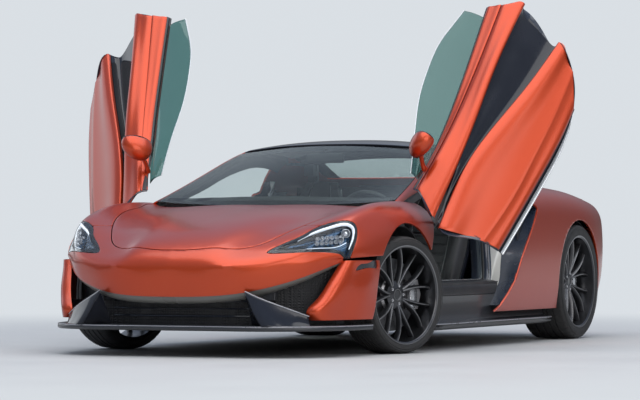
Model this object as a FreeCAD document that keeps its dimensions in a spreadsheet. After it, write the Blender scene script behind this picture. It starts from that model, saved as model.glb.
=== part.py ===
import FreeCAD, Part
import math
import os
import Sketcher

# Supercar, standing with both doors swung up.
# Millimetres. +X forward, +Y to the car's left, +Z up, origin on the ground under the middle of the car.
V = FreeCAD.Vector
doc = FreeCAD.newDocument("supercar")
sheet = doc.addObject("Spreadsheet::Sheet", "Sizes")

SIZES = [
    ("front_axle_x", 1210),
    ("wheelbase", 2670),
    ("rear_overhang", 805),
    ("front_track", 1673),
    ("rear_track", 1618),
    ("front_tyre_width", 225),
    ("rear_tyre_width", 285),
    ("front_tyre_radius", 318),
    ("rear_tyre_radius", 352),
    ("front_rim_radius", 259),
    ("rear_rim_radius", 272),
    ("rim_wall", 9),
    ("spoke_pairs", 7),
    ("front_disc_radius", 197),
    ("rear_disc_radius", 190),
    ("disc_thickness", 32),
    ("hub_radius", 36),
    ("bearing_gap", 0.3),
    ("kingpin_inset", 50),
    ("steer_rest_deg", 16.8),
    ("arch_radius_front", 384),
    ("arch_radius_rear", 384),
    ("shut_line", 5),
    ("skin", 14),
    ("seat_gap", 0.3),
    ("tyre_facets", 52),
    ("neck_radius", 66),
    ("tray_length", 849),
    ("tray_width", 797.4),
    ("tray_depth", 310),
    ("tray_wall", 12),
    ("exhaust_length", 252),
    ("exhaust_mouth", 162),
    ("exhaust_radius", 52),
    ("exhaust_bore", 46),
    ("exhaust_spacing", 600),
    ("floor_bottom", 118),
    ("floor_thick", 40),
    ("sill_top", 370),
    ("sill_outer_y", 835),
    ("cabin_half_width", 620),
    ("footwell_half_width", 545),
    ("cabin_front_x", 960),
    ("cabin_rear_x", -700),
    ("glass_thick", 5),
    ("roof_skin", 16),
    ("splitter_thick", 32),
    ("splitter_bottom", 138),
    ("engine_len", 620),
    ("engine_wide", 560),
    ("engine_high", 520),
    ("steering_wheel_radius", 178),
    ("steering_rim_radius", 15),
    ("door_open_deg", 68.5),
]
for row, (alias, value) in enumerate(SIZES, start=1):
    sheet.set("A%d" % row, alias)
    sheet.set("B%d" % row, str(value))
    sheet.setAlias("B%d" % row, alias)
doc.recompute()


def size(alias):
    return float(sheet.get(alias))


FRONT_X = size("front_axle_x")
REAR_X = FRONT_X - size("wheelbase")
TAIL_X = REAR_X - size("rear_overhang")
CABIN_REAR = size("cabin_rear_x")
# where the tables below have the rear axle and the tail
DRAWN_REAR_X = -1460
DRAWN_TAIL_X = -2265
FRONT_R = size("front_tyre_radius")
REAR_R = size("rear_tyre_radius")
GAP = size("shut_line")
SKIN = size("skin")
SEAT = size("seat_gap")
NO_MOVE = V(0, 0, 0)


# Curves through named columns

def along(table, column, x):
    """The value of one column of a table at x, on a smooth curve through its rows. Rows run from high x to low x."""
    rows = sorted(table, key=lambda r: -r[0])
    if x >= rows[0][0]:
        return rows[0][column]
    if x <= rows[-1][0]:
        return rows[-1][column]
    for i in range(len(rows) - 1):
        if rows[i][0] >= x >= rows[i + 1][0]:
            break
    a, b = rows[i], rows[i + 1]
    before, after = rows[max(i - 1, 0)], rows[min(i + 2, len(rows) - 1)]
    span = a[0] - b[0]
    share = (a[0] - x) / span
    slope_a = (b[column] - before[column]) / (before[0] - b[0]) * span
    slope_b = (after[column] - a[column]) / (a[0] - after[0]) * span
    s2, s3 = share * share, share ** 3
    return ((2 * s3 - 3 * s2 + 1) * a[column] + (s3 - 2 * s2 + share) * slope_a
            + (3 * s2 - 2 * s3) * b[column] + (s3 - s2) * slope_b)


def mix(a, b, share):
    return a + (b - a) * share


def fit(x):
    """Where a place drawn behind the cabin lies with the sheet's own rear axle and tail."""
    if x >= CABIN_REAR:
        return x
    if x >= DRAWN_REAR_X:
        return round(mix(CABIN_REAR, REAR_X, (CABIN_REAR - x) / (CABIN_REAR - DRAWN_REAR_X)), 6)
    return round(mix(REAR_X, TAIL_X, (DRAWN_REAR_X - x) / (DRAWN_REAR_X - DRAWN_TAIL_X)), 6)


def fitted(table):
    return [(fit(row[0]),) + tuple(row[1:]) for row in table]


def steps(start, end, count):
    return [mix(start, end, i / count) for i in range(count + 1)]


# Solids made from a net of points

def flat_faces(corners):
    """One face over four corners if they are flat, else two triangles."""
    distinct = []
    for p in corners:
        if all(p.distanceToPoint(q) > 0.01 for q in distinct):
            distinct.append(p)
    if len(distinct) < 3:
        return []
    if len(distinct) == 4:
        a, b, c, d = distinct
        normal = (b - a).cross(c - a)
        if normal.Length and abs(normal.normalize().dot(d - a)) < 1e-6:
            return [Part.Face(Part.makePolygon(distinct + [a]))]
        return [Part.Face(Part.makePolygon([a, b, c, a])), Part.Face(Part.makePolygon([a, c, d, a]))]
    return [Part.Face(Part.makePolygon(distinct + [distinct[0]]))]


def closed_solid(faces):
    shell = Part.Shell(faces)
    if not shell.isClosed():
        shell.sewShape()
        shell = Part.Shell(shell.Faces)
    solid = Part.Solid(shell)
    if solid.Volume < 0:
        solid.reverse()
    return solid


def net_solid(outer, inner):
    """A shell between two nets of points, closed along its four edges."""
    faces = []
    rows, cols = len(outer), len(outer[0])
    for i in range(rows - 1):
        for j in range(cols - 1):
            faces += flat_faces([outer[i][j], outer[i + 1][j], outer[i + 1][j + 1], outer[i][j + 1]])
            faces += flat_faces([inner[i][j], inner[i][j + 1], inner[i + 1][j + 1], inner[i + 1][j]])
    for i in range(rows - 1):
        faces += flat_faces([outer[i][0], inner[i][0], inner[i + 1][0], outer[i + 1][0]])
        faces += flat_faces([outer[i][-1], outer[i + 1][-1], inner[i + 1][-1], inner[i][-1]])
    for j in range(cols - 1):
        faces += flat_faces([outer[0][j], outer[0][j + 1], inner[0][j + 1], inner[0][j]])
        faces += flat_faces([outer[-1][j], inner[-1][j], inner[-1][j + 1], outer[-1][j + 1]])
    return closed_solid(faces)


def inside_net(net, thickness, core):
    """The net moved by the thickness along its own normals, towards the line of points core(x)."""
    rows, cols = len(net), len(net[0])
    moved = []
    for i in range(rows):
        line = []
        for j in range(cols):
            du = net[min(i + 1, rows - 1)][j] - net[max(i - 1, 0)][j]
            dv = net[i][min(j + 1, cols - 1)] - net[i][max(j - 1, 0)]
            normal = du.cross(dv)
            if normal.Length < 1e-6:
                normal = V(0, 0, 1)
            normal.normalize()
            if normal.dot(core(net[i][j].x) - net[i][j]) < 0:
                normal = normal * -1
            line.append(net[i][j] + normal * thickness)
        moved.append(line)
    return moved


def panel(net, thickness, core=None):
    core = core or (lambda x: V(x, 0, 300))
    return net_solid(net, inside_net(net, thickness, core))


def box(x, y, z):
    """A box between two limits on each axis."""
    return Part.makeBox(x[1] - x[0], y[1] - y[0], z[1] - z[0], V(x[0], y[0], z[0]))


def other_side(shape):
    return shape.mirror(NO_MOVE, V(0, 1, 0))


def both_sides(shape):
    return Part.Compound([shape, other_side(shape)])


def fused(shapes):
    whole = shapes[0]
    for s in shapes[1:]:
        whole = whole.fuse(s)
    return whole.removeSplitter()


def rod(a, b, radius):
    axis = b - a
    return Part.makeCylinder(radius, axis.Length, a, axis)


def bar(path, widths, heights):
    """A bar of four-cornered section along a path, each section a pair of vectors across it."""
    net = [[p + w * 0.5 + h * 0.5, p - w * 0.5 + h * 0.5, p - w * 0.5 - h * 0.5, p + w * 0.5 - h * 0.5]
           for p, w, h in zip(path, widths, heights)]
    faces = []
    for i in range(len(net) - 1):
        for j in range(4):
            k = (j + 1) % 4
            faces += flat_faces([net[i][j], net[i + 1][j], net[i + 1][k], net[i][k]])
    faces += flat_faces(net[0][::-1]) + flat_faces(net[-1])
    return closed_solid(faces)


def ringed(stations, count):
    """A closed solid through rings across X, from rows of x, middle y, middle z, half width, half height."""
    rings = []
    for x, y, z, wide, high in stations:
        turns = [2 * math.pi * k / count for k in range(count)]
        rings.append([V(x, y + wide * math.cos(t), z + high * math.sin(t)) for t in turns])
    faces = flat_faces(rings[0][::-1]) + flat_faces(rings[-1])
    for a, b in zip(rings, rings[1:]):
        for i in range(count):
            j = (i + 1) % count
            faces += flat_faces([a[i], b[i], b[j], a[j]])
    return closed_solid(faces)


# Body lines

# x, centre z, lid edge y, lid edge z, crest y, crest z
FRONT_TOP = [
    (2240, 530, 330, 520, 520, 470),
    (2191, 577, 400, 556, 570, 490),
    (2119, 617, 430, 575, 640, 500),
    (2030, 655, 442, 595, 700, 545),
    (1900, 693, 520, 655, 740, 630),
    (1750, 727, 590, 705, 775, 716),
    (1600, 755, 640, 745, 792, 762),
    (1400, 783, 680, 778, 800, 804),
    (1210, 800, 705, 797, 806, 818),
    (985, 808, 720, 808, 800, 822),
    (770, 806, 720, 808, 795, 812),
]

# x, widest y, crest z
SIDE = [
    (1837, 830, 680),
    (1750, 880, 716),
    (1600, 915, 762),
    (1400, 938, 804),
    (1210, 948, 818),
    (985, 946, 822),
    (770, 940, 812),
    (490, 936, 790),
    (0, 938, 840),
    (-490, 948, 905),
    (-760, 952, 926),
    (-1000, 955, 930),
    (-1300, 957, 921),
    (-1460, 957, 912),
    (-1700, 950, 888),
    (-1900, 925, 868),
    (-2100, 870, 853),
    (-2200, 830, 848),
]
SIDE = fitted(SIDE)
# depth below the crest, how far inside the widest line
SHOULDER = [(400, 0), (250, 5), (150, 20), (80, 48), (30, 95), (0, 150)]
TUCK_FROM_Z = 330
TUCK_SHARE = 0.22


def side_y(x, z):
    """The outer side of the body at x and z."""
    depth = max(along(SIDE, 2, x) - z, 0)
    tuck = max(TUCK_FROM_Z - z, 0) * TUCK_SHARE
    return along(SIDE, 1, x) - along(SHOULDER, 1, depth) - tuck


def top_section(x):
    """From the centre line to the crest: y, z."""
    return [(0, along(FRONT_TOP, 1, x)),
            (along(FRONT_TOP, 2, x) * 0.5, mix(along(FRONT_TOP, 1, x), along(FRONT_TOP, 3, x), 0.22)),
            (along(FRONT_TOP, 2, x), along(FRONT_TOP, 3, x)),
            (along(FRONT_TOP, 4, x), along(FRONT_TOP, 5, x))]


# Door lines, closed: x where a line starts and ends, then rows of x, y, z along it
DOOR_LINES = {
    "belt": [(734, 838, 768), (474, 832, 780), (11, 800, 854), (-472, 760, 958)],
    "blade_top": [(740, 880, 752), (490, 868, 764), (21, 842, 815), (-500, 822, 905)],
    "blade_low": [(838, 930, 606), (532, 925, 644), (200, 928, 701), (-101, 915, 759), (-573, 885, 814)],
    "channel_top": [(826, 914, 594), (730, 884, 608), (532, 868, 636), (200, 862, 690), (-101, 850, 745), (-530, 838, 790)],
    "channel_low": [(832, 916, 566), (730, 886, 573), (532, 876, 590), (144, 872, 570), (-120, 868, 540), (-458, 866, 528)],
    "skin_top": [(872, 934, 538), (634, 925, 578), (425, 928, 597), (144, 932, 577), (-120, 938, 545), (-463, 944, 525)],
    "crease": [(792, 948, 300), (429, 955, 290), (218, 958, 307), (-39, 958, 331), (-357, 954, 376)],
    "bottom": [(772, 925, 196), (277, 935, 215), (-66, 935, 240), (-185, 932, 256)],
    "strip": [(772, 893, 158), (277, 903, 172), (-66, 905, 214), (-112, 905, 228)],
}
DOOR_ORDER = ["belt", "blade_top", "blade_low", "channel_top", "channel_low", "skin_top", "crease", "bottom", "strip"]
# how far each line's inner wall is from its outer one
DOOR_DEPTH = [50, 70, 118, 62, 62, 118, 84, 60, 28]
DOOR_STATIONS = 10
# share of that depth along the door, so that its front edge passes inside the wing as it opens
DOOR_TAPER = [(1.0, 1.0), (0.32, 1.0), (0.2, 0.72), (0.1, 0.28), (0.0, 0.04)]

# The axis that the left door swings about, and its own direction
HINGE_POINT = V(915, 774, 700)
HINGE_AXIS = V(0.504, 0.651, -0.568)


def door_point(name, share):
    """A point on a door line, at a share of its length from the front."""
    line = DOOR_LINES[name]
    x = mix(line[0][0], line[-1][0], share)
    return V(x, along(line, 1, x), along(line, 2, x))


# Pillar band between the screen and the door glass: x, upper y, upper z, lower y, lower z
PILLAR = [
    (960, 742, 830, 765, 806),
    (700, 712, 912, 745, 868),
    (387, 668, 1022, 722, 948),
    (181, 628, 1098, 683, 1026),
    (0, 596, 1146, 657, 1072),
    (-164, 585, 1157, 647, 1094),
    (-414, 580, 1143, 655, 1082),
    (-560, 585, 1122, 668, 1052),
]
# Top edge of the door glass: x, y, z
GLASS_TOP = [
    (640, 772, 818),
    (387, 736.5, 924.5),
    (267, 710, 972.5),
    (181, 694, 1001.5),
    (0, 671, 1044.5),
    (-164, 661, 1067),
    (-280, 666, 1061),
    (-405, 676, 1051),
]
# Roof: x, centre z, edge y, edge z
ROOF = [
    (173, 1160, 566, 1128),
    (0, 1188, 585, 1146),
    (-164, 1201, 574, 1157),
    (-414, 1190, 569, 1143),
    (-560, 1170, 574, 1122),
    (-720, 1140, 560, 1090),
]
ROOF = fitted(ROOF)
SCREEN_BASE_Z = 806


# x, shoulder y, shoulder z, valley y, valley z: the rear deck's shoulder and the fall to the haunch
BUTTRESS = [
    (-430, 650, 1084, 700, 1020),
    (-504, 583, 1129, 700, 1012),
    (-565, 580, 1116, 700, 1004),
    (-720, 572, 1088, 706, 985),
    (-900, 578, 1044, 714, 962),
    (-1200, 600, 975, 735, 940),
    (-1500, 625, 922, 745, 914),
    (-1900, 640, 878, 735, 872),
    (-2190, 640, 862, 720, 852),
]
# x, centre z of the rear deck
DECK = [(-700, 1142), (-800, 1102), (-900, 1062), (-1200, 962), (-1500, 896), (-1900, 858), (-2190, 862)]
# the quarter panel's two front edges, below and above the side intake: x, z
LOWER_LEAD = [(-20, 200), (-191, 232), (-357, 368), (-470, 515), (-700, 737), (-762, 800)]
UPPER_LEAD = [(-436, 1004), (-480, 968), (-510, 925), (-573, 884), (-762, 806)]

BUTTRESS = fitted(BUTTRESS)
DECK = fitted(DECK)
LOWER_LEAD = fitted(LOWER_LEAD)
UPPER_LEAD = fitted(UPPER_LEAD)

LINER_R = 371
EXHAUST_Z = 472

KEPT = []


def keep(name, shape):
    holder = doc.addObject("Part::Feature", name)
    holder.Label = name
    holder.Shape = shape
    KEPT.append(holder)
    return shape


def up_to(block, panels, away, gap=SEAT):
    """The part of a block that ends just short of the panels, on the side that away points to."""
    for p in panels:
        near = p.copy()
        near.translate(away * gap)
        rest = block.cut(near)
        rest = rest.cut(p)
        block = max(rest.Solids, key=lambda s: s.CenterOfMass.dot(away))
    return block


UP = V(0, 0, 1)
DOWN = V(0, 0, -1)
BACK = V(-1, 0, 0)
INWARD = V(0, -1, 0)


# Wheels

def turned(points, centre, axis):
    """A solid turned about the axis through centre, from points of radius and place along the axis."""
    up = V(0, 0, 1)
    wire = Part.makePolygon([centre + up * r + axis * a for r, a in points + points[:1]])
    return Part.Face(wire).revolve(centre, axis, 360)


def tyre_shape(centre, axis, radius, width, rim):
    """A ring of flat facets, one corner of it on the ground."""
    count = int(size("tyre_facets"))
    slack = 1 / math.cos(math.pi / count)
    half = width / 2
    bead = (rim - 6) * slack
    side = [(bead, -half + 34), (bead, -half + 22), (rim + 14, -half + 2), (radius - 26, -half + 3),
            (radius - 7, -half + 16), (radius, -half + 40)]
    inside = [((rim + 10) * slack, half - 40), ((rim + 10) * slack, -half + 40)]
    profile = side + [(r, -a) for r, a in side[::-1]] + inside
    across = axis.cross(V(0, 0, 1)).normalize()
    rings = []
    for k in range(count):
        turn = 2 * math.pi * k / count
        out = V(0, 0, -1) * math.cos(turn) + across * math.sin(turn)
        rings.append([centre + out * r + axis * a for r, a in profile])
    faces = []
    for near, far in zip(rings, rings[1:] + rings[:1]):
        for a, b, c, d in zip(near, near[1:] + near[:1], far[1:] + far[:1], far):
            faces += flat_faces([a, b, c, d])
    return closed_solid(faces)


def rim_shape(centre, axis, width, rim):
    """Barrel, centre and twin spokes. The axis points outwards."""
    half = width / 2
    wall = size("rim_wall")
    barrel = turned([(rim - 6.3, -half + 22), (rim - 6.3, -half + 34), (rim + 9, -half + 40.5),
                     (rim + 9, half - 40.5), (rim - 6.3, half - 34), (rim - 6.3, half - 22), (rim, half - 12),
                     (rim - wall, half - 12), (rim - wall - 8, half - 44),
                     (rim - wall - 12, -half + 44), (rim - wall - 8, -half + 22)], centre, axis)
    face = half - 40
    parts = [barrel, Part.makeCylinder(72, 34, centre + axis * (face - 62), axis)]
    pairs = int(size("spoke_pairs"))
    across = axis.cross(V(0, 0, 1)).normalize()
    for i in range(2 * pairs):
        turn = 2 * math.pi * ((i // 2) + (0.19 if i % 2 else -0.19)) / pairs
        out = V(0, 0, 1) * math.cos(turn) + across * math.sin(turn)
        side = axis.cross(out)
        start = centre + out * 58 + axis * (face - 44)
        end = centre + out * (rim - wall - 3) + axis * (face + 8)
        parts.append(bar([start, end], [side * 17, side * 13], [axis * 30, axis * 22]))
    return fused(parts)


DISC_BACK = 105
HUB_BACK = 160


HUB_FRONT = 62


def turned_body(name, place, rows):
    """A body turned about its own Z axis. Rows of its profile: radius alias, share of it, added radius, height."""
    body = doc.addObject("PartDesign::Body", name)
    body.Label = name
    profile = body.newObject("Sketcher::SketchObject", name + "_profile")
    profile.AttachmentSupport = [(next(f for f in body.Origin.OriginFeatures if f.Role == "XZ_Plane"), "")]
    profile.MapMode = "FlatFace"
    points = [V(size(alias) * share + extra, height, 0) for alias, share, extra, height in rows]
    for a, b in zip(points, points[1:] + points[:1]):
        profile.addGeometry(Part.LineSegment(a, b), False)
    count = len(rows)
    for i in range(count):
        profile.addConstraint(Sketcher.Constraint("Coincident", i, 2, (i + 1) % count, 1))
    for i, (alias, share, extra, height) in enumerate(rows):
        across = profile.addConstraint(Sketcher.Constraint("DistanceX", -1, 1, i, 1, points[i].x))
        profile.setExpression("Constraints[%d]" % across, "Sizes.%s * %g + %g" % (alias, share, extra))
        profile.addConstraint(Sketcher.Constraint("DistanceY", -1, 1, i, 1, points[i].y))
    turn = body.newObject("PartDesign::Revolution", name + "_turn")
    turn.Profile = profile
    turn.ReferenceAxis = (profile, ["V_Axis"])
    turn.Angle = 360
    doc.recompute()
    body.Placement = place
    KEPT.append(body)


def disc_rows(disc_alias):
    """Brake disc with its bell and the hub that the wheel sits on. Heights from the wheel's face."""
    front = size("disc_thickness") - DISC_BACK
    return [
        ("hub_radius", 0, 0, -HUB_BACK),
        ("hub_radius", 1, 0, -HUB_BACK),
        ("hub_radius", 1, 0, front - 12),
        (disc_alias, 0.62, 0, front - 12),
        (disc_alias, 0.62, 0, -DISC_BACK),
        (disc_alias, 1, 0, -DISC_BACK),
        (disc_alias, 1, 0, front),
        ("neck_radius", 1, 0, front),
        ("neck_radius", 1, 0, -HUB_FRONT - SEAT),
        ("neck_radius", 0, 0, -HUB_FRONT - SEAT),
    ]


POST_HALF = 134


def upright_shape(centre, pivot, axis, disc, face, caliper_side):
    """Upright around the hub, with its caliper over the disc's edge."""
    bore = Part.makeCylinder(size("hub_radius") + size("bearing_gap"), 300, centre + axis * (face - 300), axis)
    ring = Part.makeCylinder(78, 42, centre + axis * (face - 152), axis)
    ahead = axis.cross(V(0, 0, 1)).normalize()
    if ahead.x < 0:
        ahead = ahead * -1
    post = bar([pivot + axis * -10 + V(0, 0, -POST_HALF), pivot + axis * -10 + V(0, 0, POST_HALF)],
               [ahead * 60] * 2, [axis * 34] * 2)
    side = ahead * caliper_side
    thick = size("disc_thickness")
    plane = centre + axis * (face - DISC_BACK + thick / 2)
    middle = disc + 26 - 42
    block = bar([plane + side * (middle - 26) + V(0, 0, -80), plane + side * middle,
                 plane + side * (middle - 26) + V(0, 0, 80)], [axis * 74] * 3, [side * 84] * 3)
    slot = Part.makeCylinder(disc + 3, thick + 6, plane - axis * (thick / 2 + 3), axis)
    stay = bar([centre + axis * (face - 131) + side * 42, centre + axis * (face - 120) + side * (middle - 50)],
               [V(0, 0, 60)] * 2, [axis * 14] * 2)
    return fused([ring.fuse(post).cut(bore), stay.cut(bore), block.cut(slot)])


def arms_shape(pivot, side, roots_y, spread, low_drop, high_rise):
    """Two wishbones a side, each ending in a boss above or below the upright's post."""
    parts = []
    for up, root_z in ((-1, low_drop), (1, high_rise)):
        boss_z = pivot.z + up * (POST_HALF + SEAT)
        boss = Part.makeCylinder(12, 24, V(pivot.x, pivot.y, boss_z), V(0, 0, up))
        end = V(pivot.x, pivot.y, boss_z + up * 12)
        parts.append(boss)
        for reach in (-spread, spread):
            root = V(pivot.x + reach, roots_y * side, pivot.z + root_z)
            parts.append(bar([root, end], [V(24, 0, 0)] * 2, [V(0, 0, 22)] * 2))
    return fused(parts)


steer = math.radians(size("steer_rest_deg"))
KING_IN = size("kingpin_inset")
king_y = size("front_track") / 2 - KING_IN
BODY_WHEELS = []
for tag, side in (("left", 1), ("right", -1)):
    out = V(math.sin(steer) * side, math.cos(steer) * side, 0)
    pivot = V(FRONT_X, king_y * side, FRONT_R)
    BODY_WHEELS.append(("front_" + tag, pivot + out * KING_IN, pivot, out, FRONT_R, size("front_tyre_width"),
                        size("front_rim_radius"), size("front_disc_radius"), -1))
    centre = V(REAR_X, size("rear_track") / 2 * side, REAR_R)
    out = V(0, side, 0)
    rear_pivot = centre + out * (size("rear_tyre_width") / 2 - 40 - 122.5)
    BODY_WHEELS.append(("rear_" + tag, centre, rear_pivot, out, REAR_R, size("rear_tyre_width"),
                        size("rear_rim_radius"), size("rear_disc_radius"), 1))
rear_uprights = []
for name, centre, pivot, out, radius, width, rim, disc, caliper_side in BODY_WHEELS:
    face = width / 2 - 40
    keep("tyre_" + name, tyre_shape(centre, out, radius, width, rim))
    keep("rim_" + name, rim_shape(centre, out, width, rim))
    alias = "front_disc_radius" if name.startswith("front") else "rear_disc_radius"
    turned_body("hub_disc_" + name, FreeCAD.Placement(centre + out * face, FreeCAD.Rotation(V(0, 0, 1), out)),
                disc_rows(alias))
    upright = upright_shape(centre, pivot, out, disc, face, caliper_side)
    if name.startswith("front"):
        keep("knuckle_" + name, upright)
    else:
        rear_uprights.append(upright)
keep("rear_uprights", Part.Compound(rear_uprights))

# Outer panels


def lid_net():
    """The front lid: rows across the car, columns from front to rear."""
    net = []
    for s in steps(-1, 1, 8):
        line = []
        front = 2212 - 175 * abs(s) ** 2.4
        rear = 1004 - 30 * s * s
        for x in steps(front, rear, 9):
            edge = along(FRONT_TOP, 2, x) - GAP / 2
            z = mix(along(FRONT_TOP, 1, x), along(FRONT_TOP, 3, x), abs(s) ** 2.1)
            line.append(V(x, edge * s, z))
        net.append(line)
    return net


def arch_z(x, centre_x, centre_z, radius):
    reach = radius ** 2 - (x - centre_x) ** 2
    return centre_z + math.sqrt(reach) if reach > 0 else 0


def fender_net():
    """Front wing: rows from front to rear, columns from the lid's edge down to the arch."""
    net = []
    for x in [1800, 1700, 1600, 1560, 1480, 1400, 1300, 1210, 1120, 1030, 966, 960, 912, 870, 830, 790, 770]:
        seam = 505 if x > 1560 else 0
        arch = arch_z(x, FRONT_X, FRONT_R, size("arch_radius_front"))
        door_edge = 775 - max(x - 764, 0) * 1.49 if x < 912 else 0
        low = max(seam, arch, door_edge)
        edge_y, edge_z = along(FRONT_TOP, 2, x) + GAP / 2, along(FRONT_TOP, 3, x)
        crest_y, crest_z = along(FRONT_TOP, 4, x), along(FRONT_TOP, 5, x)
        if x < 965:
            edge_y, edge_z = along(PILLAR, 3, x) + GAP, mix(edge_z, crest_z, 0.6)
        line = [V(x, edge_y, edge_z), V(x, mix(edge_y, crest_y, 0.5), mix(edge_z, crest_z, 0.5) - 1),
                V(x, crest_y, crest_z)]
        for share in (0.12, 0.3, 0.55, 1.0):
            z = mix(crest_z, low, share)
            line.append(V(x, max(side_y(x, z), crest_y + 10 * share), z))
        net.append(line)
    return net


# x, widest y and z of the front corner, where it meets the crease
CORNER = [(2215, 560, 486), (2119, 655, 500), (2030, 735, 507), (1900, 800, 519), (1801, 872, 524)]


def corner_line(x):
    edge_y, edge_z = along(FRONT_TOP, 2, x) + GAP / 2, along(FRONT_TOP, 3, x)
    crest_y, crest_z = along(FRONT_TOP, 4, x), along(FRONT_TOP, 5, x)
    wide, low = along(CORNER, 1, x), along(CORNER, 2, x)
    return [V(x, edge_y, edge_z), V(x, mix(edge_y, crest_y, 0.5), mix(edge_z, crest_z, 0.5) + 4),
            V(x, crest_y, crest_z), V(x, mix(crest_y, wide, 0.7), mix(crest_z, low, 0.35)),
            V(x, mix(crest_y, wide, 0.95), mix(crest_z, low, 0.7)), V(x, wide, low)]


# Headlamp outline, seen along the direction the lamp looks: across, up
LAMP = [(-413, 548), (-325, 599), (-228, 642), (-153, 683), (-74, 710), (13, 720), (61, 684), (64, 630), (41, 556),
        (4, 505), (-13, 529), (-53, 546), (-187, 552), (-353, 545)]
LAMP_LOOKS = V(math.cos(math.radians(24.4)), math.sin(math.radians(24.4)), 0)
LAMP_ACROSS = V(-LAMP_LOOKS.y, LAMP_LOOKS.x, 0)
LAMP_EDGE = 4
LAMP_DEEP = 110


def body_y(x, z):
    """The outer y of the front corner or wing at a height."""
    if x > 1800:
        line = corner_line(x)
    else:
        crest_y, crest_z = along(FRONT_TOP, 4, x), along(FRONT_TOP, 5, x)
        line = [V(x, crest_y - 120, crest_z + 10), V(x, crest_y, crest_z)]
        line += [V(x, side_y(x, crest_z - d), crest_z - d) for d in (25, 60, 120, 220)]
    for a, b in zip(line, line[1:]):
        if a.z >= z >= b.z:
            return mix(a.y, b.y, (a.z - z) / max(a.z - b.z, 0.001))
    return line[0].y if z > line[0].z else line[-1].y


def on_lamp(s, z):
    """The point of the body's surface behind a point of the lamp's outline."""
    near, far = 1500.0, 2400.0
    for _ in range(40):
        t = (near + far) / 2
        p = LAMP_ACROSS * s + LAMP_LOOKS * t
        if p.y > body_y(p.x, z):
            far = t
        else:
            near = t
    return LAMP_ACROSS * s + LAMP_LOOKS * near + V(0, 0, z)


def lamp_outline(inset):
    middle_s = sum(p[0] for p in LAMP) / len(LAMP)
    middle_z = sum(p[1] for p in LAMP) / len(LAMP)
    points = []
    for s, z in LAMP:
        share = 1 - inset / math.hypot(s - middle_s, z - middle_z)
        points.append((middle_s + (s - middle_s) * share, middle_z + (z - middle_z) * share))
    return points


def lamp_prism():
    points = [LAMP_ACROSS * s + V(0, 0, z) + LAMP_LOOKS * 1450 for s, z in lamp_outline(0)]
    return Part.Face(Part.makePolygon(points + points[:1])).extrude(LAMP_LOOKS * 900)


def fan_solid(front, back):
    """A closed solid between two outlines, each filled from its middle."""
    faces = []
    for ring, turn in ((front, 1), (back, -1)):
        middle = V(0, 0, 0)
        for p in ring:
            middle = middle + p
        middle = middle * (1 / len(ring))
        for a, b in zip(ring, ring[1:] + ring[:1]):
            faces += flat_faces([middle, a, b][::turn])
    for i in range(len(front)):
        j = (i + 1) % len(front)
        faces += flat_faces([front[i], front[j], back[j], back[i]])
    return closed_solid(faces)


def lamp_shape():
    front = [on_lamp(s, z) - LAMP_LOOKS * 10 for s, z in lamp_outline(LAMP_EDGE)]
    back = [on_lamp(s, z) - LAMP_LOOKS * LAMP_DEEP for s, z in lamp_outline(LAMP_EDGE + 14)]
    return fan_solid(front, back)


# Nose band by stations across the car: y, crease x, crease z, lip x, lip z, top x, top z
NOSE = [
    (0, 2265, 474, 2238, 318, 2218, 544),
    (250, 2252, 478, 2224, 324, 2208, 540),
    (430, 2200, 484, 2172, 346, 2168, 520),
    (580, 2112, 492, 2088, 386, 2092, 502),
    (690, 2020, 500, 2000, 430, 2006, 504),
    (775, 1905, 510, 1890, 478, 1890, 513),
    (818, 1840, 518, 1832, 500, 1830, 521),
]
# Cheek ahead of the front wheel: z, front x, front y, rear x, rear y
CHEEK = [
    (500, 1835, 836, 1606, 914),
    (380, 1925, 795, 1592, 914),
    (238, 2030, 728, 1614, 905),
    (192, 2005, 735, 1620, 896),
]


def band_net():
    across = [(-r[0],) + r[1:] for r in NOSE[:0:-1]] + NOSE
    net = []
    for y, cx, cz, lx, lz, tx, tz in across:
        net.append([V(tx, y, tz), V(mix(tx, cx, 0.7), y, mix(tz, cz, 0.45)), V(cx, y, cz),
                    V(mix(cx, lx, 0.35), y, mix(cz, lz, 0.5)), V(lx, y, lz)])
    return net


def cheek_net():
    net = []
    for z, fx, fy, rx, ry in CHEEK:
        net.append([V(mix(fx, rx, s), mix(fy, ry, s) + 34 * math.sin(math.pi * s), z) for s in steps(0, 1, 4)])
    return net


def splitter_shape():
    thick, low = size("splitter_thick"), size("splitter_bottom")
    outline = [(2236, 0), (2232, 300), (2222, 535), (2100, 735), (1900, 845), (1632, 890), (1632, 700), (1700, 520)]
    points = [V(x, y, low) for x, y in outline] + [V(x, -y, low) for x, y in outline[::-1][:-1]]
    plate = Part.Face(Part.makePolygon(points + points[:1])).extrude(V(0, 0, thick))
    top = low + thick - 1
    fins = []
    for side in (1, -1):
        head = [V(2213, 428 * side, 345), V(2120, 600 * side, 262), V(2036, 700 * side, 205)]
        foot = [V(2222, 528 * side, top), V(2110, 660 * side, top), V(2020, 716 * side, top)]
        net = [[p, f] for p, f in zip(head, foot)]
        fins.append(net_solid(net, [[p - V(14, 0, 0), f - V(14, 0, 0)] for p, f in net]))
    return fused([plate] + fins)


def intake_net():
    """Dark mesh behind the nose band, from the splitter up."""
    net = []
    for y in (-690, -560, -430, -250, 0, 250, 430, 560, 690):
        cx = along([(-r[0], r[1]) for r in NOSE], 1, -abs(y)) - 95
        net.append([V(cx - 10, y, 440 - abs(y) * 0.03), V(cx, y, 300), V(cx, y, size("splitter_bottom") + size("splitter_thick") + SEAT)])
    return net


def door_shape():
    shares = steps(0, 1, DOOR_STATIONS)
    outer = [[door_point(name, s) for s in shares] for name in DOOR_ORDER]
    inner = [[p - V(0, depth * along(DOOR_TAPER, 1, s), 0) for p, s in zip(line, shares)]
             for line, depth in zip(outer, DOOR_DEPTH)]
    return fused([net_solid(outer, inner), door_arm_shape()])


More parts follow.
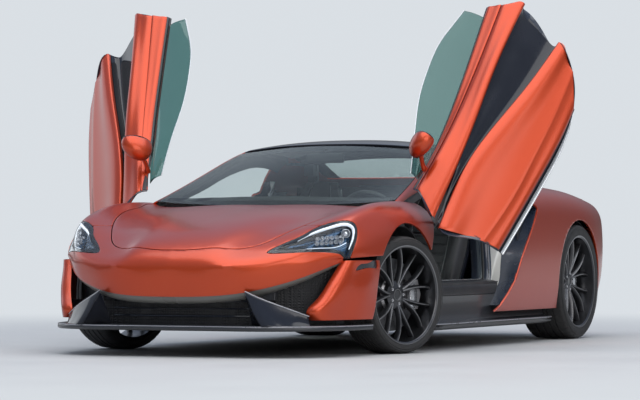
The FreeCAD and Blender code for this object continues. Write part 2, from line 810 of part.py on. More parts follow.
# The door's arm to its hinge, closed: from the hinge back past the wing's edge and out to the door's skin
ARM_PATH = [(895, 795, 575), (816, 736, 550), (735, 800, 545), (735, 905, 545)]
HINGE_RADIUS = 16
HINGE_HALF = 22
HINGE_UNIT = V(HINGE_AXIS.x, HINGE_AXIS.y, HINGE_AXIS.z).normalize()
HINGE_CENTRE = HINGE_POINT + HINGE_UNIT * 80


def door_arm_shape():
    eye_start = HINGE_CENTRE + HINGE_UNIT * (HINGE_HALF + SEAT)
    eye = Part.makeCylinder(HINGE_RADIUS, 20, eye_start, HINGE_UNIT)
    path = [eye_start + HINGE_UNIT * 14] + [V(*p) for p in ARM_PATH]
    parts = [eye]
    for a, b in zip(path, path[1:]):
        run = (b - a).normalize()
        up = V(0, 0, 1) - run * run.z
        up.normalize()
        parts.append(bar([a, b + run * 6], [run.cross(up) * 16] * 2, [up * 18] * 2))
    boss_end = Part.makeCylinder(60, 60, eye_start - HINGE_UNIT * 60, HINGE_UNIT)
    return fused(parts).cut(boss_end)


def hinge_boss_shape():
    """The fixed half of the door's hinge, on its bracket from the front post."""
    boss = Part.makeCylinder(HINGE_RADIUS, 2 * HINGE_HALF, HINGE_CENTRE - HINGE_UNIT * HINGE_HALF, HINGE_UNIT)
    stay = bar([V(905, 750, 675), HINGE_CENTRE], [V(26, 0, 0)] * 2, [V(0, 0, 24)] * 2)
    return boss.fuse(stay)


def glass_shape():
    shares = steps(0, 1, DOOR_STATIONS)[1:-1]
    feet = [door_point("belt", s) for s in shares]
    feet.append(mix(feet[-1], door_point("belt", 1), 0.35))
    outer = []
    for s, foot in zip(steps(0, 1, len(feet) - 1), feet):
        x = mix(GLASS_TOP[0][0], GLASS_TOP[-1][0], s)
        top = V(x, along(GLASS_TOP, 1, x), along(GLASS_TOP, 2, x))
        foot = foot + V(0, -25, SEAT)
        outer.append([top, mix(top, foot, 0.5) + V(0, 9, 3), foot])
    return net_solid(outer, [[p - V(0, size("glass_thick"), 0) for p in line] for line in outer])


# Mirror housing: x, middle y, middle z, half width, half height
MIRROR = [
    (497, 952, 881, 88, 53),
    (520, 951, 881, 92, 57),
    (550, 950, 880, 88, 55),
    (580, 945, 878, 72, 44),
    (600, 940, 876, 50, 30),
    (611, 936, 875, 22, 13),
]


def mirror_shape():
    """Mirror housing with the arm that stands on the door's belt."""
    housing = ringed(MIRROR, 16)
    arm = bar([V(596, 824, 760), V(588, 829, 778), V(545, 905, 868)], [V(46, 0, 0), V(46, 0, 0), V(36, 0, 0)],
              [V(0, 16, 0), V(0, 16, 0), V(0, 12, 6)])
    return fused([housing, up_to(arm, [door], UP)])


def swung(shape):
    """A closed door's piece, turned to where the door stands open."""
    opened = shape.copy()
    opened.translate(HINGE_POINT * -1)
    opened.rotate(NO_MOVE, HINGE_AXIS, size("door_open_deg"))
    opened.translate(HINGE_POINT)
    return opened


def screen_net():
    net = []
    for s in steps(-1, 1, 8):
        line = []
        for t in steps(0, 1, 6):
            x = mix(988 - 44 * s * s, 168 - 60 * s * s, t)
            edge_y, edge_z = along(PILLAR, 1, x) - 4, along(PILLAR, 2, x)
            middle_z = mix(SCREEN_BASE_Z, 1160, t) + 26 * math.sin(math.pi * t)
            line.append(V(x, edge_y * s, mix(middle_z, edge_z, abs(s) ** 2.2)))
        net.append(line)
    return net


PILLAR_SKIN = 14
PILLAR_END = -495


def lowered(net, depth):
    return [[p - V(0, 0, depth) for p in line] for line in net]


def pillar_net():
    net = []
    for x in steps(955, PILLAR_END, 14):
        high = V(x, along(PILLAR, 1, x), along(PILLAR, 2, x))
        low = V(x, along(PILLAR, 3, x), along(PILLAR, 4, x))
        net.append([high, mix(high, low, 0.5) + V(0, 4, 5), low])
    return net


def roof_net(front=106, rear=-696, inset=5):
    net = []
    for s in steps(-1, 1, 8):
        line = []
        for x in steps(front, rear, 8):
            edge_y = (along(PILLAR, 1, x) if x > -560 else along(BUTTRESS, 1, x)) - inset
            line.append(V(x, edge_y * s, mix(along(ROOF, 1, x), along(ROOF, 3, x), abs(s) ** 2.2)))
        net.append(line)
    return net


QUARTER_LOW = 196
QUARTER_START = -446
QUARTER_STATIONS = (QUARTER_START, -499, -504, -573, -660, -762, -860, -960, -1060, -1088, -1130, -1200, -1300, -1460,
                    -1600, -1700, -1790, -1836, -1900, -2000, -2112)
# how the quarter's inner side lies from its outer one at each column: y, z
QUARTER_INSIDE = [(0, -18), (-4, -17), (-10, -13), (-12, -8), (-14, -3), (-14, 0), (-14, 0), (-14, 0), (-14, 0)]


def quarter_shape():
    """Rear wing with the fall from the roof, cut open for the side intake, and the sill part ahead of it."""
    net = []
    radius = size("arch_radius_rear")
    for x in [fit(x) for x in QUARTER_STATIONS]:
        low = max(arch_z(x, REAR_X, REAR_R - 8, radius), QUARTER_LOW if x > fit(-1300) else 340)
        crest, top_y, top_z = along(SIDE, 2, x), along(BUTTRESS, 1, x), along(BUTTRESS, 2, x)
        if x > PILLAR_END - GAP:
            top_y, top_z = along(PILLAR, 3, x) + 4, along(PILLAR, 4, x) - 6
        line = [V(x, top_y, top_z), V(x, along(BUTTRESS, 3, x), along(BUTTRESS, 4, x))]
        line += [V(x, side_y(x, mix(crest, low, s)), mix(crest, low, s)) for s in (0, 0.05, 0.14, 0.3, 0.5, 0.75, 1)]
        net.append(line)
    inner = [[p + V(0, y, z) for p, (y, z) in zip(line, QUARTER_INSIDE)] for line in net]
    main = net_solid(net, inner)
    edge = UPPER_LEAD + [(x, z - GAP) for x, z in LOWER_LEAD[::-1] if x < -400]
    edge += [(-400, 440), (-400, UPPER_LEAD[0][1])]
    mouth = Part.Face(Part.makePolygon([V(x, 600, z) for x, z in edge + edge[:1]])).extrude(V(0, 440, 0))
    sill = []
    for x in [-22, -60, -191, -270, -357, -420, QUARTER_START]:
        high = along(LOWER_LEAD, 1, x) - GAP if x > -440 else 470
        sill.append([V(x, side_y(x, mix(high, QUARTER_LOW - 2, s)), mix(high, QUARTER_LOW - 2, s)) for s in steps(0, 1, 3)])
    sill = net_solid(sill, [[p - V(0, 14, 0) for p in line] for line in sill])
    return main.cut(mouth).fuse(sill)


def deck_net(front, rear, count):
    """The rear deck between the two shoulders."""
    net = []
    for s in steps(-1, 1, 8):
        line = []
        for x in steps(front, rear, count):
            edge_y, edge_z = along(BUTTRESS, 1, x) - GAP, along(BUTTRESS, 2, x)
            line.append(V(x, edge_y * s, mix(along(DECK, 1, x), edge_z, abs(s) ** 2.5)))
        net.append(line)
    return net


TAIL_SEAM = fit(-2130)


def tail_shape():
    net = []
    for s in steps(-1, 1, 12):
        line = []
        for z, pull in ((845, 20), (780, 0), (640, 8), (500, 22), (380, 60), (340, 80)):
            y = side_y(TAIL_SEAM, z) * s
            line.append(V(mix(TAIL_X + pull, TAIL_SEAM, abs(s) ** 5), y, z))
        net.append(line)
    return panel(net, SKIN, lambda x: V(fit(-1000), 0, 600))


lid = keep("front_lid", panel(lid_net(), SKIN))
prism = lamp_prism()
fender = panel(fender_net(), SKIN).cut(prism)
corner = panel([corner_line(x) for x in (2196, 2119, 2030, 1960, 1900, 1805)], SKIN).cut(prism)
corner = max(corner.Solids, key=lambda s: s.Volume)
band = panel(band_net(), SKIN, lambda x: V(1500, 0, 420))
cheek = panel(cheek_net(), SKIN)
keep("fender_left", fender)
keep("fender_right", other_side(fender))
lamp = lamp_shape()
keep("headlamps", both_sides(lamp))
keep("nose_corners", both_sides(corner))
keep("nose_band", band)
keep("cheeks", both_sides(cheek))
keep("splitter", splitter_shape())
intake = keep("front_intake", panel(intake_net(), 12, lambda x: V(1500, 0, 300)))
door = door_shape()
for name, shape in (("door", door), ("door_glass", glass_shape()), ("mirror", mirror_shape())):
    opened = swung(shape)
    keep(name + "_left", opened)
    keep(name + "_right", other_side(opened))
screen = keep("windscreen", net_solid(screen_net(), lowered(screen_net(), size("glass_thick"))))
pillar = up_to(net_solid(pillar_net(), lowered(pillar_net(), PILLAR_SKIN)), [fender], UP)
keep("pillars", both_sides(pillar))
roof = keep("roof", net_solid(roof_net(), lowered(roof_net(), size("roof_skin"))))
quarter = quarter_shape()
keep("quarter_left", quarter)
keep("quarter_right", other_side(quarter))
rear_glass = keep("rear_glass",
                  panel(deck_net(fit(-702), fit(-1080), 4), size("glass_thick"), lambda x: V(x, 0, 500)))
cover = keep("engine_cover", panel(deck_net(fit(-1086), fit(-2125), 8), SKIN, lambda x: V(x, 0, 500)))
tail = tail_shape()
for y in (300, -300):
    tail = tail.cut(rod(V(fit(-2300), y, EXHAUST_Z), V(fit(-2000), y, EXHAUST_Z), 52 + SEAT))
TAIL_ZONE = (fit(-2400), fit(-2100))
grille_window = box(TAIL_ZONE, (-600, 600), (520, 720))
lamp_windows = [box(TAIL_ZONE, y, (742, 782)) for y in ((330, 840), (-840, -330))]
keep("rear_bumper", tail.cut(grille_window).cut(Part.Compound(lamp_windows)))
keep("rear_grille", tail.common(box(TAIL_ZONE, (-600 + SEAT, 600 - SEAT), (520 + SEAT, 720 - SEAT))))
keep("tail_lamps", Part.Compound([tail.common(box(TAIL_ZONE, y, (742 + SEAT, 782 - SEAT)))
                                  for y in ((330 + SEAT, 840 - SEAT), (-840 + SEAT, -330 - SEAT))]))
# x, z
DIFFUSER = [(-1850, 150), (-2240, 262), (-2240, 320), (-2200, 330), (-1850, 190)]
diffuser = [V(fit(x), 0, z) for x, z in DIFFUSER]
diffuser = Part.Face(Part.makePolygon(diffuser + diffuser[:1])).extrude(V(0, 640, 0))
diffuser = keep("diffuser", fused([diffuser, other_side(diffuser)]))

# Structure


def rail_shape():
    """The bar under a pillar band."""
    net = pillar_net()
    rail = net_solid(lowered(net, PILLAR_SKIN + 2 * SEAT), lowered(net, PILLAR_SKIN + 36))
    return rail.common(box((-700, 930), (0, 900), (0, 2000)))


def bow_shape(front, rear, inset):
    under = lowered(roof_net(front, rear, inset), size("roof_skin") + SEAT)
    return net_solid(under, lowered(under, 26))


rail = rail_shape()


def tub_shape():
    low, thick = size("floor_bottom"), size("floor_thick")
    deck = low + thick
    front, rear = size("cabin_front_x"), size("cabin_rear_x")
    wide, foot = size("cabin_half_width"), size("footwell_half_width")
    parts = [
        box((rear, 840), (-wide, wide), (low, deck)),
        box((839, front + 40), (-foot, foot), (low, deck)),
        box((front, front + 40), (-foot, foot), (deck - 1, 740)),
        box((rear - 40, rear), (-wide, wide), (low, 930)),
        up_to(box((880, 925), (-690, 690), (690, 900)), [screen], DOWN),
    ]
    for side in (1, -1):
        for x, y, z in (((rear, 770), (wide - 1, size("sill_outer_y")), (low, size("sill_top"))),
                        ((800, front + 1), (foot - 30, foot), (deck - 1, 700)),
                        ((800, 830), (foot - 30, 680), (160, 700)),
                        ((800, 830), (foot - 30, 735), (160, 480)),
                        ((769, 801), (wide - 1, 735), (160, size("sill_top"))),
                        ((799, 926), (foot - 30, 690), (660, 700)),
                        ((860, 926), (689, 758), (640, 700)),
                        ((rear - 40, rear + 90), (wide - 1, 790), (low, 880))):
            parts.append(box(x, sorted((side * y[0], side * y[1])), z))
        beam = rail if side > 0 else other_side(rail)
        parts.append(up_to(box((862, 900), sorted((side * 738, side * 754)), (690, 1000)), [beam], DOWN))
        parts.append(hinge_boss_shape() if side > 0 else other_side(hinge_boss_shape()))
    return fused(parts)


tub = keep("tub", tub_shape())


def cabin_frame_shape():
    """Pillar rails, the roof's bows and the posts on the rear bulkhead."""
    header = up_to(bow_shape(96, 40, -14), [roof], DOWN)
    for skin in (pillar, other_side(pillar)):
        near = skin.copy()
        near.translate(DOWN * SEAT)
        header = header.cut(near).cut(skin)
    header = max(header.Solids, key=lambda s: s.Volume)
    parts = [rail, other_side(rail), header, bow_shape(-620, -690, 12)]
    for side in (1, -1):
        y = sorted((side * 490, side * 550))
        parts.append(up_to(box((-690, -650), y, (1000, 1300)), [roof], DOWN))
        parts.append(up_to(box((fit(-738), fit(-708)), y, (930 + SEAT, 1300)), [rear_glass], DOWN))
        parts.append(box((fit(-738), -650), y, (1000, 1030)))
        parts.append(box((-690, -510), sorted((side * 540, side * 570)), (1062, 1078)))
        parts.append(box((-530, -496), sorted((side * 560, side * 600)), (1062, 1078)))
    return fused(parts)


keep("cabin_frame", cabin_frame_shape())


TRAY_BACK = 1041
TRAY_LOW = 300


def bound(kind, name, place, **sizes):
    """A primitive at a place, its sizes bound to the sheet."""
    item = doc.addObject(kind, name)
    for key, expression in sizes.items():
        item.setExpression(key, expression)
    item.Placement.Base = place
    return item


tray = bound("Part::Box", "tray_outside", V(TRAY_BACK, -size("tray_width") / 2, TRAY_LOW), Length="Sizes.tray_length",
             Width="Sizes.tray_width", Height="Sizes.tray_depth")
tray_room = bound("Part::Box", "tray_room",
                  V(TRAY_BACK + size("tray_wall"), size("tray_wall") - size("tray_width") / 2, TRAY_LOW + size("tray_wall")),
                  Length="Sizes.tray_length - 2 * Sizes.tray_wall", Width="Sizes.tray_width - 2 * Sizes.tray_wall",
                  Height="Sizes.tray_depth")
luggage_tray = doc.addObject("Part::Cut", "luggage_tray")
luggage_tray.Label = "luggage_tray"
luggage_tray.Base = tray
luggage_tray.Tool = tray_room
KEPT.append(luggage_tray)
LAMP_GAP = 0.8


FRONT_BEAM = 2000


def front_rail_shape(side):
    """One side's rail with its posts and the stays that carry the front panels."""
    wing, outer = (fender, cheek) if side > 0 else (other_side(fender), other_side(cheek))
    glow = lamp if side > 0 else other_side(lamp)
    limits = [
        ((1040 + SEAT, FRONT_BEAM - SEAT), (399, 455), (230, 330)),
        ((926 + SEAT, 1612), (610, 650), (FRONT_R + LINER_R + 6 + SEAT, 720)),
        ((1570, 1612), (454, 650), (640, 720)),
        ((1570, 1612), (399, 455), (329, 720)),
        ((1590, 1680), (649, 680), (640, 670)),
        ((1085, 1115), (600, 645), (697, 722)),
        ((1285, 1315), (645, 765), (700, 722)),
    ]
    parts = [box(x, sorted((side * y[0], side * y[1])), z) for x, y, z in limits]
    for x, y, low in ((1300, (725, 765), 700), (1660, (649, 680), 660)):
        parts.append(up_to(box((x - 15, x + 15), sorted((side * y[0], side * y[1])), (low, 900)), [wing], DOWN))
    for x, y in ((1100, 600), (1590, 454)):
        parts.append(up_to(box((x - 15, x + 15), sorted((side * y, side * (y + 40))), (700, 900)), [lid], DOWN))
    heart = glow.CenterOfMass
    parts.append(up_to(box((1630, 2100), (heart.y - 10, heart.y + 10), (heart.z - 8, heart.z + 8)), [glow], BACK,
                       LAMP_GAP))
    parts.append(box((1630, 1660), sorted((side * 660, heart.y + side * 10)), (min(heart.z - 8, 641), 665)))
    reach = box((1730, 1770), sorted((side * 454, side * 1000)), (250, 290))
    parts.append(up_to(reach, [outer], V(0, -side, 0)))
    return fused(parts)


def front_beam_shape():
    """The cross beam behind the nose, with the stays of its corners and its band."""
    parts = [box((FRONT_BEAM, FRONT_BEAM + 80), (-520, 520), (300, 400))]
    for side, edge in ((1, corner), (-1, other_side(corner))):
        parts.append(up_to(box((2045, 2075), sorted((side * 462, side * 490)), (390, 900)), [edge], DOWN))
    for y in ((-340, -300), (300, 340)):
        parts.append(up_to(box((2070, 2400), y, (352, 396)), [band], BACK))
    return fused(parts)


keep("front_rails", Part.Compound([front_rail_shape(side) for side in (1, -1)]))
keep("front_beam", front_beam_shape().cut(intake))


def arms_of(names, root_y, low, high, spread):
    parts = []
    for name, centre, pivot, out, radius, width, rim, disc, caliper_side in BODY_WHEELS:
        if name.startswith(names):
            side = 1 if pivot.y > 0 else -1
            parts.append(arms_shape(pivot, side, root_y, spread, low, high))
    return parts


front_arms = arms_of("front", 470, -POST_HALF - 12, POST_HALF + 12, 110)
suspension = []
for arms, side in zip(front_arms, (1, -1)):
    plate = box((1060, 1360), sorted((side * (455 + SEAT), side * 476)), (150, 500))
    suspension.append(fused([arms, plate]))
keep("suspension_front", Part.Compound(suspension))


def rear_frame_shape():
    start = size("cabin_rear_x") - 40
    parts = [box((fit(-2060), fit(-2000)), (-560, 560), (320, EXHAUST_Z - 52 - SEAT))]
    for side in (1, -1):
        limits = [
            ((fit(-1830), start - SEAT), (400, 460), (230, 310)),
            ((fit(-2060), fit(-1780)), (400, 460), (300, 340)),
            ((fit(-1100), fit(-1040)), (size("engine_wide") / 2 + SEAT, 401), (240, 300)),
            ((fit(-1560), fit(-1340)), (400, 460), (309, 760)),
            ((fit(-1470), fit(-1430)), (400, 700), (REAR_R + LINER_R + 11 + SEAT, 770)),
            ((fit(-2060), fit(-2020)), (400, 440), (309, 790)),
        ]
        parts += [box(x, sorted((side * y[0], side * y[1])), z) for x, y, z in limits]
        wing = quarter if side > 0 else other_side(quarter)
        parts.append(up_to(box((fit(-1470), fit(-1430)), sorted((side * 670, side * 700)), (740, 1100)), [wing], DOWN))
        parts.append(up_to(box((fit(-1560), fit(-1520)), sorted((side * 420, side * 455)), (740, 1100)), [cover], DOWN))
        parts.append(up_to(box((fit(-2060), fit(-2020)), sorted((side * 400, side * 440)), (780, 1100)), [cover], DOWN))
        parts.append(up_to(box((fit(-2400), fit(-2050)), sorted((side * 400, side * 440)), (360, 420)), [tail], V(1, 0, 0)))
        parts.append(up_to(box((fit(-2060), fit(-2020)), sorted((side * 400, side * 440)), (100, 330)), [diffuser], UP))
    return fused(parts)


keep("rear_frame", rear_frame_shape())
rear_suspension = []
for arms, side in zip(arms_of("rear", 476, -POST_HALF - 12, POST_HALF + 12, 130), (1, -1)):
    plate = box((REAR_X - 160, REAR_X + 160), sorted((side * (460 + SEAT), side * 480)), (180, 540))
    rear_suspension.append(fused([arms, plate]))
keep("suspension_rear", Part.Compound(rear_suspension))

# Cabin


def seat_shape(side):
    """Bucket seat: cushion, leaning back and the head rest, from x, half width, low z, high z sections."""
    y = 370 * side
    cushion = [[V(x, y + w * s, z) for s in (-1, -0.55, 0.55, 1)] for x, w, z in
               ((210, 215, 318), (100, 235, 322), (-60, 240, 300), (-250, 225, 290))]
    cushion_low = [[V(p.x, p.y * 1.0, 158 + SEAT) for p in line] for line in cushion]
    for line in cushion:
        for i in (0, 3):
            line[i] = line[i] + V(0, 0, 48)
    back = [[V(x, y + w * s, z) for s in (-1, -0.5, 0.5, 1)] for x, w, z in
            ((-240, 225, 290), (-310, 245, 440), (-395, 250, 620), (-450, 205, 780), (-490, 120, 860), (-520, 110, 960))]
    for line in back:
        for i in (0, 3):
            line[i] = line[i] + V(50, 0, 10)
    back_far = [[V(p.x - 150 + 0.05 * (p.z - 290), p.y, p.z - 30) for p in line] for line in back]
    return fused([net_solid(cushion, cushion_low), net_solid(back, back_far)])


keep("seat_left", seat_shape(1))
keep("seat_right", seat_shape(-1))

DASH = [(879.7, 735), (640, 800), (560, 790), (505, 700), (530, 600), (660, 560), (879.7, 540)]
WHEEL_CENTRE = V(430, 365, 715)
RAKE = math.radians(22)
TO_DRIVER = V(-math.cos(RAKE), 0, math.sin(RAKE))


def dash_shape():
    outline = [V(x, -690, z) for x, z in DASH]
    block = Part.Face(Part.makePolygon(outline + outline[:1])).extrude(V(0, 1380, 0))
    hood = box((530, 640), (265, 465), (760, 845))
    column = Part.makeCylinder(30, 190, WHEEL_CENTRE - TO_DRIVER * (190 + 18 + SEAT), TO_DRIVER)
    for side in (1, -1):
        block = block.cut(box((799 - SEAT, 900), sorted((side * (515 - SEAT), side * 800)), (0, 700 + SEAT)))
    return fused([block, hood, column])


keep("dashboard", dash_shape())
console = [V(x, -105, z) for x, z in ((640, 158 + SEAT), (640, 556), (560, 590), (505, 560), (300, 420), (-300, 400), (-300, 158 + SEAT))]
console = Part.Face(Part.makePolygon(console + console[:1])).extrude(V(0, 210, 0))
keep("console", console.cut(box((500, 700), (-200, 200), (550, 700))))


def steering_wheel_shape():
    ring = Part.makeTorus(size("steering_wheel_radius"), size("steering_rim_radius"), WHEEL_CENTRE, TO_DRIVER)
    parts = [ring, Part.makeCylinder(52, 34, WHEEL_CENTRE - TO_DRIVER * 18, TO_DRIVER)]
    up = V(math.sin(RAKE), 0, math.cos(RAKE))
    across = V(0, 1, 0)
    for deg in (-225, -315, -45 - 90):
        turn = math.radians(deg)
        out = up * math.cos(turn) + across * math.sin(turn)
        side = TO_DRIVER.cross(out)
        parts.append(bar([WHEEL_CENTRE + out * 40, WHEEL_CENTRE + out * size("steering_wheel_radius")],
                         [side * 40, side * 26], [TO_DRIVER * 14] * 2))
    return fused(parts)


keep("steering_wheel", steering_wheel_shape())


# Skirts, wheel house liners and exhaust

def skirt_shape():
    y = size("sill_outer_y") + SEAT
    outline = [(y, 118), (y, 300), (y + 12, 300), (y + 22, 150), (918, 140), (925, 118)]
    front = [V(780, a, z) for a, z in outline]
    return Part.Face(Part.makePolygon(front + front[:1])).extrude(V(-1480, 0, 0))


skirt = skirt_shape()
keep("side_skirts", both_sides(skirt))


def liner(x, z, inner_r, y):
    ring = Part.makeCylinder(inner_r + 6, y[1] - y[0], V(x, y[0], z), V(0, 1, 0))
    ring = ring.cut(Part.makeCylinder(inner_r, y[1] - y[0], V(x, y[0], z), V(0, 1, 0)))
    return ring.common(box((x - 500, x + 500), (y[0] - 1, y[1] + 1), (z - 60, z + 500)))


front_liner = liner(FRONT_X, FRONT_R, LINER_R, (565, 880))
rear_liner = liner(REAR_X, REAR_R, LINER_R + 5, (560, 905))
keep("wheel_houses", Part.Compound([front_liner, other_side(front_liner), rear_liner, other_side(rear_liner)]))
pipes = []
for tag, side in (("left", 1), ("right", -1)):
    mouth = V(fit(-2262), side * size("exhaust_spacing") / 2, EXHAUST_Z)
    wall = bound("Part::Cylinder", "exhaust_wall_" + tag, mouth, Radius="Sizes.exhaust_radius",
                 Height="Sizes.exhaust_length")
    bore = bound("Part::Cylinder", "exhaust_bore_" + tag, mouth, Radius="Sizes.exhaust_bore",
                 Height="Sizes.exhaust_mouth")
    for item in (wall, bore):
        item.Placement.Rotation = FreeCAD.Rotation(V(0, 0, 1), V(1, 0, 0))
    pipe = doc.addObject("Part::Cut", "exhaust_pipe_" + tag)
    pipe.Base = wall
    pipe.Tool = bore
    pipes.append(pipe)
exhaust = doc.addObject("Part::Compound", "exhaust")
exhaust.Label = "exhaust"
exhaust.Links = pipes
KEPT.append(exhaust)

engine = bound("Part::Box", "engine", V(size("cabin_rear_x") - 60 - size("engine_len"), -size("engine_wide") / 2, 190),
               Length="Sizes.engine_len", Width="Sizes.engine_wide", Height="Sizes.engine_high")
engine.Label = "engine"
KEPT.append(engine)

doc.recompute()

os.makedirs("parts", exist_ok=True)
bad = []
for item in KEPT:
    if "Invalid" in item.State or "Error" in item.State or item.Shape.isNull() or not item.Shape.isValid():
        bad.append(item.Label)
print("not valid:", bad)
for item in KEPT:
    item.Shape.exportStep(os.path.join("parts", item.Label + ".step"))
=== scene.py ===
import math
import bpy
import numpy as np
from mathutils import Matrix, Vector


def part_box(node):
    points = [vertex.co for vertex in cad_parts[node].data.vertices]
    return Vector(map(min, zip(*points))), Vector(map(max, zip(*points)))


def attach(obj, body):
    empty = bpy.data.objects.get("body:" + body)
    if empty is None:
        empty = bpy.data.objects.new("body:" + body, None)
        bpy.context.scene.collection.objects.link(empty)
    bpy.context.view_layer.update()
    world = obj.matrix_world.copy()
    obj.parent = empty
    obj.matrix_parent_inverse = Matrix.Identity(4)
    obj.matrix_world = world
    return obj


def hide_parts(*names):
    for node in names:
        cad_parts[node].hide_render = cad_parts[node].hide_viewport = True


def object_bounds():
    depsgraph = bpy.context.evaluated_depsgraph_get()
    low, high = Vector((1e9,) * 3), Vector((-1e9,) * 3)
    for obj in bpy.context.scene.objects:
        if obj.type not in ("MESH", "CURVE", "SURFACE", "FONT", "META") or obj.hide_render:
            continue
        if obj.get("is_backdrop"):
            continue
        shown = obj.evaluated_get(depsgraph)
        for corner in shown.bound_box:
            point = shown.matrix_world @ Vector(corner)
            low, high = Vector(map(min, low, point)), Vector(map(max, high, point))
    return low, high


# Supercar with both doors swung up. Measures are in millimetres: +X forward, +Y to the car's left, +Z up.
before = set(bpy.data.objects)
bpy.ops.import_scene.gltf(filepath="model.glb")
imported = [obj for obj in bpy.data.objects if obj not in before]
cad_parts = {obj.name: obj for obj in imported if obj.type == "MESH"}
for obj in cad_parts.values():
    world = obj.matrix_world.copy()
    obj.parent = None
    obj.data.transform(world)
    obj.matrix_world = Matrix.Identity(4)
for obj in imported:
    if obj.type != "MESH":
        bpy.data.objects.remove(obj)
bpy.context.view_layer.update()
MM = 0.001
UP = np.array([0.0, 0.0, 1.0])
IN = np.array([0.0, -1.0, 0.0])
OTHER_SIDE = np.array([1, -1, 1])


# Curves and grids of points

def vec(x, y, z):
    return np.array([x, y, z], float)


def steps(count):
    """Evenly spread shares from 0 to 1."""
    return np.linspace(0, 1, count)


def around(count):
    """Evenly spread angles of a full turn."""
    return np.linspace(0, 2 * math.pi, count, endpoint=False)


def spline(knots, values, at):
    """A smooth curve through the values at the knots, read at other places."""
    t, v, x = np.asarray(knots, float), np.asarray(values, float), np.asarray(at, float)
    n = len(t)
    h = np.diff(t)
    a = np.eye(n)
    b = np.zeros((n, v[0].size))
    flat = v.reshape(n, -1)
    for i in range(1, n - 1):
        a[i, i - 1:i + 2] = h[i - 1], 2 * (h[i - 1] + h[i]), h[i]
        b[i] = 6 * ((flat[i + 1] - flat[i]) / h[i] - (flat[i] - flat[i - 1]) / h[i - 1])
    bend = np.linalg.solve(a, b)
    i = np.clip(np.searchsorted(t, x, side="right") - 1, 0, n - 2)
    w = ((x - t[i]) / h[i])[:, None]
    step = (h[i] ** 2 / 6)[:, None]
    found = (1 - w) * flat[i] + w * flat[i + 1]
    found = found + step * (((1 - w) ** 3 - (1 - w)) * bend[i] + (w ** 3 - w) * bend[i + 1])
    return found.reshape((len(x),) + v.shape[1:])


def along(p):
    """How far along a line of points each one lies."""
    return np.concatenate([[0], np.cumsum(np.linalg.norm(np.diff(p, axis=0), axis=1))])


def curve(points, count):
    """Evenly spread points on a smooth curve through the given ones."""
    p = np.asarray(points, float)
    run = along(p)
    return spline(run / run[-1], p, steps(count))


def rounded(points, count):
    """A closed smooth outline through the given points."""
    p = np.asarray(points, float)
    lap = np.concatenate([p[-3:], p, p[:4]])
    run = along(lap)
    return spline(run, lap, np.linspace(run[3], run[3 + len(p)], count, endpoint=False))


def grown(outline, by):
    """An outline of 2-D points moved outwards along its own normals."""
    p = np.asarray(outline, float)
    side = np.roll(p, -1, 0) - np.roll(p, 1, 0)
    normal = np.stack([side[:, 1], -side[:, 0]], 1)
    normal /= np.linalg.norm(normal, axis=1)[:, None]
    area = (p[:, 0] * np.roll(p[:, 1], -1) - np.roll(p[:, 0], -1) * p[:, 1]).sum()
    return p + normal * by * (1 if area > 0 else -1)


def read(table, x):
    """All columns of a table after its first one, at one or more values of the first."""
    rows = np.array(sorted(table), float)
    x = np.clip(np.atleast_1d(np.asarray(x, float)), rows[0, 0], rows[-1, 0])
    return spline(rows[:, 0], rows[:, 1:], x)


def across(rows, per, creases=()):
    """Smooth lines across rails. Rows is (stations, rails, 3). The surface breaks at the rails in creases."""
    rows = np.asarray(rows, float)
    run = np.concatenate([[0], np.cumsum(np.linalg.norm(np.diff(rows, axis=1), axis=2).mean(0))])
    limits = [0] + sorted(creases) + [rows.shape[1] - 1]
    parts = []
    for a, b in zip(limits, limits[1:]):
        at = np.concatenate([np.linspace(run[k], run[k + 1], per + 1)[(k > a):] for k in range(a, b)])
        part = spline(run[a:b + 1], np.swapaxes(rows[:, a:b + 1], 0, 1), at)
        parts.append(part[(a > 0):])
    return np.swapaxes(np.concatenate(parts), 0, 1)


def between(*rails, per=6, creases=()):
    """A smooth grid between rails of as many points each."""
    return across(np.stack(rails, 1), per, creases)


def quads(n, m, loop=False, ring=False):
    """Faces of n rows of m points. A loop closes each row, and a ring joins the last row to the first."""
    faces = []
    for i in range(n if ring else n - 1):
        here, there = i * m, (i + 1) % n * m
        for j in range(m if loop else m - 1):
            k = (j + 1) % m
            faces.append((here + j, there + j, there + k, here + k))
    return faces


# Finishes

def add_relief(mat, texture, output, scale, strength, distance=0.001, **sockets):
    """Relief from a texture that follows the object's own space. Returns the texture and the relief."""
    nodes, links = mat.node_tree.nodes, mat.node_tree.links
    pattern = nodes.new(texture)
    for key, value in dict(sockets, Scale=scale).items():
        pattern.inputs[key].default_value = value
    links.new(nodes["Texture Coordinate"].outputs["Object"], pattern.inputs["Vector"])
    relief = nodes.new("ShaderNodeBump")
    relief.inputs["Strength"].default_value = strength
    relief.inputs["Distance"].default_value = distance
    links.new(pattern.outputs[output], relief.inputs["Height"])
    links.new(relief.outputs["Normal"], nodes["Principled BSDF"].inputs["Normal"])
    return pattern, relief


